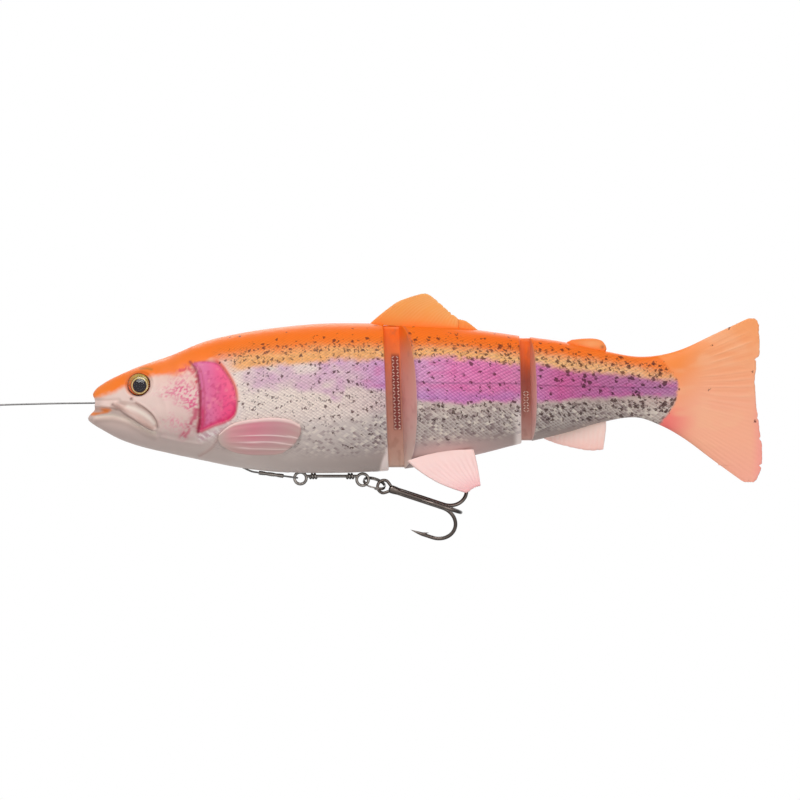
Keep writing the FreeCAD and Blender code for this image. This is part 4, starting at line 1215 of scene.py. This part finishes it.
def fin(name, stands_for, body, slot, place, paint, edges, thickness, ray_facts, ragged):
    """One fin: two faces of a fan patch, each half a thickness from its middle sheet, joined at the root
    and meeting at the margins. The thickness is at the root and the margin; the ray facts are the number
    of rays, their height, the fin's length and width and a seed; the margin is ragged by up to so many
    millimetres."""
    flat, u, v = fan_patch(*edges)
    half, ray = fin_thickness(u, v, thickness, ray_facts)
    pull = ragged * (0.5 + 0.5 * cloud(v * 22, 0 * v, ray_facts[-1] + 5, 2)) * step(0.8, 1.0, u)
    inward = flat - flat[:1]
    flat = flat - inward * (pull / np.maximum(np.linalg.norm(inward, axis=-1), 1e-6))[..., None]
    x, z = flat[..., 0], flat[..., 1]
    middle, normal = place(x, z)
    rise = normal * half[..., None]
    colour = opaque(paint(x, z, u, v, ray))
    parts = [two_sheets(middle + rise, middle - rise, (0,))]
    return piece(name, parts, soft_fin, body, [stands_for], {"paint": np.concatenate([colour, colour])})


def middle_plane(x, z):
    """Sheet in the fish's middle plane, its normal across the fish."""
    zero = 0 * x
    return np.stack([x, zero, z], -1), np.stack([zero, zero - 1, zero], -1)


def between_rays(colour, tone, strength, u, ray):
    """Tint in the hollows between the rays, away from the root."""
    return over(colour, tone, strength * (1 - ray) * step(0.1, 0.4, u))


def dorsal_paint(x, z, u, v, ray):
    """Orange at the root to peach at the margin, its rays paler."""
    colour = shades(u, (0, 255, 138, 48), (0.3, 255, 162, 76), (0.7, 255, 174, 90), (1, 255, 178, 96))
    colour = between_rays(colour, (240, 128, 60), 0.22, u, ray)
    return over(colour, (255, 196, 140), 0.35 * step(0.6, 1.0, ray) * u)


def tip_paint(x, z, u, v, ray):
    """Orange, paler at the margin and darker between the rays."""
    return over(shades(u, (0, 255, 140, 48), (1, 255, 168, 84)), (236, 124, 56), 0.2 * (1 - ray))


def adipose_paint(x, z, u, v, ray):
    """Orange lobe with a pale streak and one dark speck."""
    colour = shades(u, (0, 255, 120, 26), (0.6, 255, 142, 60), (1, 255, 132, 46)) + 0 * x[..., None]
    return layered(
        colour,
        ((255, 118, 24), step(178.0, 173.0, x)),
        ((255, 178, 116), 0.7 * spot(x, z, (183.5, 22.0), (4.5, 1.6))),
        ((170, 84, 48), 0.7 * bump(np.hypot(x - 187.4, z - 20.8), 0.7)),
    )


def anal_paint(x, z, u, v, ray):
    """Pale pink, deeper at the margin and between the rays."""
    colour = shades(u, (0, 255, 226, 214), (0.5, 255, 222, 212), (1, 255, 206, 196)) + 0 * x[..., None]
    return between_rays(colour, (250, 190, 176), 0.25, u, ray)


def pectoral_paint(x, z, u, v, ray):
    """Rose in the middle, grey below, with pale rays and a pale leading edge."""
    colour = shades(
        u, (0, 206, 184, 176), (0.18, 222, 160, 164), (0.45, 222, 140, 154), (0.7, 208, 150, 156),
        (1, 202, 168, 162)
    )
    colour = over(colour + 0 * x[..., None], (204, 176, 168), 0.75 * step(0.40, 0.85, v))
    colour = between_rays(colour, (200, 130, 140), 0.22, u, ray)
    lines = step(0.93, 1.0, ray) * step(0.1, 0.5, u) * step(0.2, 0.4, v) * step(0.9, 0.75, v)
    colour = over(colour, (255, 232, 230), 0.8 * lines)
    return over(colour, (248, 218, 212), 0.85 * step(0.11, 0.04, v))


def pelvic_paint(x, z, u, v, ray):
    """Pale pink, rosier toward the margin and between the rays."""
    colour = shades(u, (0, 246, 212, 206), (0.6, 252, 214, 210), (1, 250, 196, 196)) + 0 * x[..., None]
    colour = over(colour, (238, 168, 172), 0.4 * step(0.7, 1.0, u))
    return between_rays(colour, (238, 186, 184), 0.3, u, ray)


def on_flank(sign):
    """Placing of a sheet that lies about half a millimetre proud of one flank."""
    def place(x, z):
        lift = 0.42 + 0.45 * step(60.0, 75.5, x)
        slope = flank_y(x, z + 0.5) - flank_y(x, z - 0.5)
        out = unit(np.stack([0 * x, sign + 0 * x, -slope], -1))
        return np.stack([x, sign * flank_y(x, z), z], -1) + out * lift[..., None], out

    return place


def hanging(sign):
    """Placing of a sheet that flares outward from one side of the belly."""
    flare = math.radians(25.0)

    def place(x, z):
        out = 8.3 + (-18.6 - z) * math.tan(flare)
        bow = 0.5 * step(-20.0, -32.0, z)
        normal = np.array([0.0, sign * math.cos(flare), math.sin(flare)]) + 0 * x[..., None]
        return np.stack([x, sign * (out + bow), z], -1), normal

    return place


# Edges of each fin: leading edge, trailing edge, root and margin.
DORSAL = (
    [(100.0, 28.6), (103.6, 31.8), (107.6, 35.0), (111.5, 37.7), (116.0, 39.4), (120.4, 40.75)],
    [(134.0, 27.74), (134.0, 29.6), (133.98, 31.3)],
    [(100.0, 28.6), (104.5, 28.82), (115.0, 28.44), (125.0, 28.06), (134.0, 27.74)],
    [(120.4, 40.75), (122.0, 40.8), (123.2, 40.4), (126.0, 38.1), (128.6, 35.8), (131.2, 33.4),
     (133.98, 31.3)],
)
DORSAL_TIP = (
    [(133.95, 26.6), (133.95, 29.0), (133.95, 31.2)],
    [(141.6, 26.4), (141.3, 26.9), (140.6, 27.5)],
    [(133.95, 26.6), (138.0, 26.8), (141.6, 26.4)],
    [(133.95, 31.2), (136.2, 30.7), (138.4, 29.4), (140.6, 27.5)],
)
ADIPOSE = (
    [(172.6, 21.4), (174.2, 22.6), (176.0, 23.5)],
    [(187.8, 18.6), (188.9, 19.8), (188.6, 21.4)],
    [(172.6, 21.4), (180.0, 20.2), (187.8, 18.6)],
    [(176.0, 23.5), (180.0, 23.9), (184.5, 23.9), (187.2, 23.1), (188.6, 21.4)],
)
ANAL = (
    [(165.0, -11.4), (165.2, -12.6), (166.0, -13.6)],
    [(188.8, -6.0), (188.7, -10.0), (187.7, -17.4)],
    [(165.0, -11.4), (174.0, -9.6), (182.0, -7.6), (188.8, -6.0)],
    [(166.0, -13.6), (171.0, -15.4), (176.5, -16.7), (183.2, -17.8), (187.7, -17.4)],
)
PECTORAL = (
    [(45.4, -11.4), (48.2, -9.0), (51.6, -7.2), (59.2, -5.8), (66.6, -5.4), (72.0, -6.2), (75.6, -7.8)],
    [(46.6, -15.6), (50.0, -17.6), (55.0, -18.7), (60.0, -19.0), (65.0, -18.9), (69.0, -18.2)],
    [(45.4, -11.4), (45.2, -13.4), (46.6, -15.6)],
    [(75.6, -7.8), (76.0, -9.8), (75.2, -12.2), (73.0, -15.2), (69.0, -18.2)],
)
PELVIC = (
    [(115.0, -21.6), (118.0, -24.2), (122.0, -27.0), (126.4, -29.5), (131.6, -31.6), (136.6, -33.2)],
    [(139.6, -17.4), (141.0, -24.0), (142.0, -30.6)],
    [(115.0, -21.6), (122.0, -19.4), (131.0, -17.8), (139.6, -17.4)],
    [(136.6, -33.2), (138.0, -32.6), (139.2, -31.6), (142.0, -30.6)],
)


def make_fins():
    """All fins: dorsal over the joint, its tip, adipose, anal, and the paired pectoral and pelvic fins."""
    for name, stands_for, body, slot, paint, *shape in (
        ("dorsal_fin_fan", "dorsal_fin", "head", "back_fins", dorsal_paint, DORSAL, (0.85, 0.42),
         (22, 0.13, 11.0, 30.0, 61), 0.35),
        ("dorsal_fin_tip_fan", "dorsal_fin_tip", "middle", "back_fins", tip_paint, DORSAL_TIP, (0.6, 0.35),
         (5, 0.08, 4.0, 6.0, 63), 0.15),
        ("adipose_fin_lobe", "adipose_fin", "tail", "back_fins", adipose_paint, ADIPOSE, (0.95, 0.6),
         (6, 0.05, 4.0, 15.0, 65), 0.0),
        ("anal_fin_fan", "anal_fin", "tail", "belly_fins", anal_paint, ANAL, (0.85, 0.40),
         (13, 0.10, 8.0, 23.0, 67), 0.25),
    ):
        fin(name, stands_for, body, slot, middle_plane, paint, *shape)
    for sign, label in SIDES:
        fin(
            "pectoral_fin_fan_" + label, "pectoral_fin_" + label, "head", "belly_fins", on_flank(sign),
            pectoral_paint, PECTORAL, (0.55, 0.34), (5, 0.11, 28.0, 12.0, 71), 0.3,
        )
        fin(
            "pelvic_fin_fan_" + label, "pelvic_fin_" + label, "middle", "belly_fins", hanging(sign),
            pelvic_paint, PELVIC, (0.62, 0.40), (10, 0.12, 15.0, 20.0, 73), 0.3,
        )


# ====================================================================== webs
# Web colours by height: orange back, pale belly, and darker than the faces beside them as painted shade.
FRONT_WEB_TINTS = (
    (-26, 206, 176, 160), (-10, 204, 152, 134), (0, 206, 146, 124), (10, 224, 140, 116), (18, 246, 138, 78),
    (25, 255, 120, 28),
)
REAR_WEB_TINTS = (
    (-16, 196, 160, 150), (-8, 192, 146, 136), (0, 176, 112, 98), (8, 176, 90, 72), (13, 206, 100, 56),
    (17, 244, 116, 44), (24, 255, 118, 32),
)


def web_strip(name, x, half, lean, top, low, tints, bend, node_name):
    """Flexible web: slab in the middle plane between two leaning faces, slightly hollow where it flexes."""
    u = np.linspace(-1, 1, 33)[:, None]
    v = np.linspace(0, 1, 120)[None, :]
    z = low + (top - low) * v + 0 * u
    px = x + half * u - lean * z
    thick = 1.38 - 0.20 * np.cos(np.pi * u / 2) ** 2 + 0.03 * cloud(px / 1.2, z / 1.5, 81) + 0 * v
    ends = np.sqrt(np.clip(1 - (1 - np.clip(np.minimum(v, 1 - v) * (top - low) / 1.2, 0, 1)) ** 2, 0, 1))
    thick = thick * ends
    warm = shades(z, *tints)
    warm = over(warm, (150, 96, 80), 0.25 * step(0.1, 1.0, cloud(px / 1.6, z / 2.0, 83)))
    # Darker where the front web's net shows through.
    across = px + lean * z
    net = step(109.2, 109.9, across) * step(112.8, 112.2, across) * step(-10.5, -9.0, z) * step(19.0, 17.0, z)
    colour = opaque(over(warm, (120, 34, 40), 0.8 * net))
    sheets = two_sheets(np.stack([px, -thick, z], -1), np.stack([px, thick, z], -1), (0, len(u) - 1))
    paint = {"paint": np.concatenate([colour, colour])}
    piece(name, [sheets], web_rubber, bend[0], [node_name], paint, bend=bend)


def net_threads(name, columns, lean, top, low, pitch, bend):
    """Woven net showing in the web: slanting bead of thread at each crossing, both sides, in columns."""
    along = np.linspace(-1, 1, 7)
    heights = np.arange(low, top, pitch)
    parts = []
    for number, column in enumerate(columns):
        for sign in (-1, 1):
            for k, z in enumerate(heights):
                tilt = 0.55 if (k + number) % 2 else -0.55
                path = np.stack([
                    column - lean * z + along * 0.42, sign * (1.20 + 0.16 * (1 - along**2)), z + tilt
                    * along * 0.6,
                ], -1)
                parts.append(tube(path, 0.20 * np.sqrt(1.06 - along**2), (0, 1, 0), sides=7))
    piece(name, parts, net_thread, bend[0], (), None, bend=bend)


def make_webs():
    """Both hinge webs with their net."""
    front_bend = ("head", "middle", (HEAD_END * MM, 0, 0), (MIDDLE_START * MM, 0, 0))
    rear_bend = ("middle", "tail", (MIDDLE_END * MM, 0, 0), (TAIL_START * MM, 0, 0))
    web_strip(
        "hinge_web_front_strip", 110.0, 2.95, FRONT_LEAN, 28.72, -23.9, FRONT_WEB_TINTS, front_bend,
        "hinge_web_front"
    )
    web_strip(
        "hinge_web_rear_strip", 158.9, 1.95, REAR_LEAN, 24.1, -13.9, REAR_WEB_TINTS, rear_bend,
        "hinge_web_rear"
    )
    net_threads("harness_net_front", (110.15, 111.75), FRONT_LEAN, 18.0, -9.5, 1.15, front_bend)
    net_threads("harness_net_rear", (158.4, 159.6), REAR_LEAN, 4.2, -3.0, 1.0, rear_bend)


# ====================================================================== eyes
def iris_tints(px, pz):
    """Print of the iris about its centre: orange below and ahead, gold above, dark rim, gold ring, dark
    pupil."""
    r = np.hypot(px, pz)
    grain = cloud(np.arctan2(pz, px) * 9.0, r * 1.5, 91)
    upper = step(-1.5, 3.0, pz)
    iris = over(np.broadcast_to(tint(206, 112, 44), (*px.shape, 3)), (206, 178, 84), upper)
    pupil = np.hypot(px - 0.45, pz + 0.50)
    for tone, mask in (
        ((244, 104, 34), 0.9 * step(0.2, -3.0, px) * (1 - 0.75 * upper)),
        ((120, 74, 34), 0.35 * step(0.1, 0.9, grain)),
        ((80, 28, 20), step(3.72, 4.05, r)),
        ((84, 44, 20), 0.8 * bump(pupil - 3.12, 0.16)),
        ((250, 234, 160), bump(pupil - 2.82, 0.19)),
        ((30, 20, 32), step(2.60, 2.45, pupil)),
    ):
        iris = over(iris, tone, mask)
    return iris


def make_eyes():
    """Eyes: a painted iris disc, slightly crowned, and over it a clear dome that is part of a ball."""
    rings = np.linspace(0, 1, 60)
    disc = np.column_stack([
        np.concatenate([IRIS_RADIUS * rings, [IRIS_RADIUS, 0.0]]),
        np.concatenate([0.20 + 0.25 * (1 - rings**2), [EYE_BACK, EYE_BACK]]),
    ])
    ball = (DOME_RADIUS**2 + DOME_RISE**2) / (2 * DOME_RISE)
    reach = DOME_RADIUS * np.sin(np.linspace(0, 1, 26) * np.pi / 2)
    height = 0.16 + np.sqrt(ball**2 - reach**2) - (ball - DOME_RISE)
    dome = np.column_stack([np.concatenate([reach, [DOME_RADIUS, 0.0]]),
                            np.concatenate([height, [-0.3, -0.3]])])
    for sign, label in SIDES:
        centre, look = eye_seat(sign)
        points, faces = turned(disc, centre, look, sides=96)
        paint = {"paint": opaque(iris_tints(points[..., 0] - EYE[0], points[..., 2] - EYE[1]))}
        piece("iris_disc_" + label, [(points, faces)], iris_paint, "head", ["eye_iris_" + label],
              paint)
        parts = [turned(dome, centre, look, sides=72)]
        piece("eye_dome_" + label, parts, clear_dome, "head", ["eye_lens_" + label])


# ======================================================================= rig
def ring_path(centre, radius, normal, count=56, start=0.0, sweep=2 * np.pi, pitch=0.0):
    """Points of a ring or helix about a normal."""
    axis = unit(normal)
    side = unit(np.cross(axis, (0.0, 0.0, 1.0) if abs(axis[2]) < 0.9 else (1.0, 0.0, 0.0)))
    up = np.cross(axis, side)
    whole = abs(sweep - 2 * np.pi) < 1e-6 and pitch == 0.0
    turn = start + np.linspace(0, sweep, count, endpoint=not whole)
    return (
        np.asarray(centre, float)
        + radius * (np.cos(turn)[:, None] * side + np.sin(turn)[:, None] * up)
        + (pitch * (turn - start) / (2 * np.pi))[:, None] * axis
    )


def crimp(name, start, along, node_name):
    """Crimped sleeve: tube with rolled ends and two pressed waists."""
    h = np.linspace(0, CRIMP_LENGTH, 70)
    r = CRIMP_RADIUS - 0.13 * bump(h - 3.0, 0.8) - 0.13 * bump(h - 6.6, 0.8) + 0.03 * np.sin(h * 9)
    r = r * np.sqrt(np.clip(1 - (1 - np.clip(np.minimum(h, CRIMP_LENGTH - h) / 0.35, 0, 1)) ** 2, 0,
                            1)) * 0.999
    points, faces = turned(np.column_stack([r, h]), start, along, sides=28, ref=(0, 1, 0))
    return piece(name, [(points, faces)], nickel, "head", [node_name])


def loop(name, start, along, length, node_name):
    """Doubled line: out from the crimp, round a half circle, and back beside itself."""
    along = unit(along)
    across = np.array([0.0, 1.0, 0.0])
    start = np.asarray(start)
    foot = LINE_RADIUS * 1.15
    s = np.linspace(0, 1, 16)
    reach = (foot + (LOOP_RADIUS - foot) * step(0, 0.6, s))[:, None] * across
    run = start + (s * length)[:, None] * along
    turn = np.linspace(0, np.pi, 18)[1:-1]
    bow = start + (length + LOOP_RADIUS * np.sin(turn))[:, None] * along
    bow = bow + (LOOP_RADIUS * np.cos(turn))[:, None] * across
    path = np.concatenate([run + reach, bow, (run - reach)[::-1]])
    parts = [tube(path, LINE_RADIUS, np.cross(along, across), sides=12)]
    return piece(name, parts, line_metal, "head", [node_name])


def make_line_ends():
    """Crimps and loops at both ends of the line."""
    along = np.array([math.cos(CRIMP_SLOPE), 0, math.sin(CRIMP_SLOPE)])
    rear = np.array(CRIMP_FRONT) + along * CRIMP_LENGTH
    crimp("belly_crimp", CRIMP_FRONT, along, "leader_crimp")
    loop("belly_loop", rear, along, 3.9, "leader_loop")
    ahead = np.array([-1.0, 0.0, 0.0])
    end = np.array([LINE_ROUTE[-1][0], 0.0, LINE_ROUTE[-1][1]])
    far_crimp = crimp("far_crimp", end, ahead, "line_crimp")
    far_loop = loop("far_loop", end + ahead * CRIMP_LENGTH, ahead, 3.3, "line_loop")


def cut_wire(count, radius, tip):
    """Radii along a wire of so many points that narrows through the given values at both cut ends."""
    radii = np.full(count, radius)
    radii[:len(tip)] = tip
    radii[-len(tip):] = tip[::-1]
    return radii


def make_bar():
    """Wire bar: one wire with a round eye at each end, its tails wound two and a half times round the bar."""
    across = (0, 1, 0)
    parts = []
    for eye in (FRONT_EYE, REAR_EYE):
        parts.append(tube(ring_path(eye, BAR_EYE_RADIUS, across), BAR_WIRE, across, closed=True))
    path = np.linspace((FRONT_EYE[0] + 1.9, 0, BAR_Z), (REAR_EYE[0] - 1.7, 0, BAR_Z), 40)
    parts.append(tube(path, BAR_WIRE, across))
    for start in (FRONT_EYE[0] + 3.5, REAR_EYE[0] - 5.9):
        helix = ring_path((start, 0, BAR_Z), 0.80, (1, 0, 0), count=120, sweep=2 * np.pi * 2.6, pitch=1.04)
        parts.append(tube(helix, cut_wire(120, 0.44, (0.18, 0.32, 0.41)), (1, 0, 0), sides=12))
    piece("wire_bar", parts, nickel, "bar", ["stinger_bar"])


def make_split_ring():
    """Split ring: flat wire wound nearly twice, its two coils side by side with one crossing, parted at
    the ends."""
    count = 200
    up = np.array([math.sin(RING_SLOPE), 0, math.cos(RING_SLOPE)])
    axis = up * math.sin(RING_TILT) - np.array([0, 1.0, 0]) * math.cos(RING_TILT)
    path = ring_path(RING_CENTRE, RING_RADIUS, axis, count=count, sweep=2 * np.pi * 1.88, start=1.0)
    path = path + (0.64 * step(0.42, 0.58, np.linspace(0, 1, count)) - 0.32)[:, None] * axis
    wire = tube(path, cut_wire(count, RING_WIRE, (0.12, 0.22, 0.29, 0.32)), axis, sides=12, flatten=0.9)
    piece("split_ring_coil", [wire], nickel, "ring", ["split_ring"])


def make_treble():
    """Treble hook: an eye drawn out toward the shank, three wires laid together as one shank under a
    collar, round bends, and tapered points, each with a barb."""
    along = np.array([math.cos(HOOK_SLOPE), 0, -math.sin(HOOK_SLOPE)])
    up = np.array([math.sin(HOOK_SLOPE), 0, math.cos(HOOK_SLOPE)])
    across = np.array([0.0, 1.0, 0.0])
    eye = np.array(HOOK_EYE)
    turn = np.linspace(0, 2 * np.pi, 64, endpoint=False)
    shankward = np.clip(np.cos(turn), 0, 1) ** 2
    drop = (HOOK_EYE_RADIUS * np.cos(turn) * (1 + 0.42 * shankward))[:, None] * along
    drop = eye + drop + (HOOK_EYE_RADIUS * np.sin(turn) * (1 - 0.55 * shankward))[:, None] * up
    parts = [tube(drop, 0.58, across, closed=True, sides=14)]
    # One branch, as distance along the shank and distance out from it.
    inner = HOOK_WIRE * 1.08
    outer = inner + 2 * HOOK_BEND
    turn = np.linspace(-np.pi / 2, np.pi / 2, 40)[1:-1]
    u = np.concatenate([
        np.linspace(SHANK_START, SHANK_END, 30), SHANK_END + HOOK_BEND * np.cos(turn),
        np.linspace(SHANK_END, SPEAR_END, 10), np.linspace(SPEAR_END, POINT_END, 16)[1:],
    ])
    r = np.concatenate([
        np.full(30, inner), inner + HOOK_BEND + HOOK_BEND * np.sin(turn), np.full(10, outer),
        np.full(15, outer) - 0.25 * np.linspace(0, 1, 15) ** 2,
    ])
    taper = 1 - np.linspace(0, 1, 15) ** 1.3 * 0.94
    radius = np.concatenate([np.full(30 + 38 + 10, HOOK_WIRE), HOOK_WIRE * taper])
    radius[:4] = HOOK_WIRE * np.array([0.5, 0.8, 0.95, 1.0])
    for angle in np.radians((30.0, 150.0, 270.0)):
        out = up * math.cos(angle) + across * math.sin(angle)
        side = np.cross(along, out)
        parts.append(tube(eye + u[:, None] * along + r[:, None] * out, radius, side, sides=16))
        foot = eye + along * 19.3 + out * (outer - HOOK_WIRE * 0.5)
        tip = eye + along * 21.2 + out * (outer - HOOK_WIRE - 0.75)
        cut = np.linspace(0, 1, 8)[:, None]
        parts.append(tube(foot + (tip - foot) * cut, 0.46 * (1 - cut[:, 0]) + 0.05, side, sides=10))
    collar = np.linspace(0, 4.6, 30)
    girth = 1.62 * np.sqrt(np.clip(1 - ((collar - 2.3) / 2.35) ** 6, 0, 1)) - 0.25 * step(1.0, 4.6, collar)
    profile = np.column_stack([np.clip(girth, 0, None), collar])
    parts.append(turned(profile, eye + along * 1.9, along, sides=24, ref=(0, 1, 0)))
    piece("treble_hook_wires", parts, hook_plating, "treble", ["treble_hook"])


head_skin()
middle_skin()
tail_skin()
make_fins()
make_webs()
make_eyes()
make_line_ends()
make_bar()
make_split_ring()
make_treble()

# ------------------------------------------------- parts kept from the frame
KEPT = {
    "line_tube": tube_plastic,
    "front_weight": lead_cast,
    "middle_weight": lead_cast,
    "harness_mesh_front": woven_mesh,
    "harness_mesh_middle": woven_mesh,
    "harness_mesh_tail": woven_mesh,
    "leader_wire": line_metal,
    "swivel_rear_eye": nickel,
    "swivel_barrel": nickel,
    "swivel_front_eye": nickel,
}
for name, finish in KEPT.items():
    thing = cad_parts[name]
    for place in thing.material_slots:
        place.material = finish

# ===================================================================== stage
def area_light(name, place, aim, size, power):
    """Large soft lamp that looks at a point."""
    data = bpy.data.lights.new(name, "AREA")
    data.shape = "RECTANGLE"
    data.size = size[0]
    data.size_y = size[1]
    data.energy = power
    lamp = bpy.data.objects.new(name, data)
    back = unit(np.array(place, float) - np.array(aim, float))
    side = unit(np.cross((0, 0, 1), back))
    rise = np.cross(back, side)
    turn = np.eye(4)
    turn[:3, 0] = side
    turn[:3, 1] = rise
    turn[:3, 2] = back
    turn[:3, 3] = place
    lamp.matrix_world = Matrix(turn.tolist())
    lamp.visible_camera = False
    bpy.context.collection.objects.link(lamp)


CENTRE = (0.10, 0.0, 0.0)
FLOOR_HEIGHT = -0.2
# Lamp, place, aim, size in metres, power in watts.
area_light("key_lamp", (-0.15, -0.85, 0.95), CENTRE, (0.9, 0.7), 10.5)
area_light("fill_lamp", (0.75, -1.0, 0.15), CENTRE, (0.8, 0.8), 2.2)
area_light("back_lamp", (0.2, 0.9, 0.7), CENTRE, (1.0, 0.6), 5.0)


def make_world():
    """Soft even room light, and plain white for what the camera, gloss and glass see."""
    world = bpy.data.worlds.new("studio")
    bpy.context.scene.world = world
    world.use_nodes = True
    tree = world.node_tree
    tree.nodes.clear()
    path = node(tree, "ShaderNodeLightPath")
    seen = maths(tree, "MAXIMUM", path.outputs["Is Camera Ray"], path.outputs["Is Glossy Ray"])
    seen = maths(tree, "MAXIMUM", seen, path.outputs["Is Transmission Ray"])
    soft, white = (
        node(tree, "ShaderNodeBackground", {"Color": (1, 1, 1, 1), "Strength": strength}).outputs[0]
        for strength in (0.27, 1.0)
    )
    mix = node(tree, "ShaderNodeMixShader", {0: seen, 1: soft, 2: white})
    node(tree, "ShaderNodeOutputWorld", {0: mix.outputs[0]})


def make_floor():
    """Pale floor well below the bait; it keeps the bait's shadow."""
    corners = ((-0.5, -0.6), (0.7, -0.6), (0.7, 0.6), (-0.5, 0.6))
    mesh = bpy.data.meshes.new("floor")
    mesh.from_pydata([(x, y, FLOOR_HEIGHT) for x, y in corners], [], [(0, 1, 2, 3)])
    made, tree, shader = material(
        "floor_paper", Roughness=0.9, Base_Color=(0.78, 0.78, 0.78, 1), Emission_Color=(1, 1, 1, 1)
    )
    seen = node(tree, "ShaderNodeLightPath").outputs["Is Camera Ray"]
    feed(tree, shader, {"Emission Strength": times(tree, seen, 0.42)})
    mesh.materials.append(made)
    floor = bpy.data.objects.new("floor", mesh)
    bpy.context.collection.objects.link(floor)


make_world()
make_floor()
bpy.context.scene.view_settings.view_transform = "Standard"
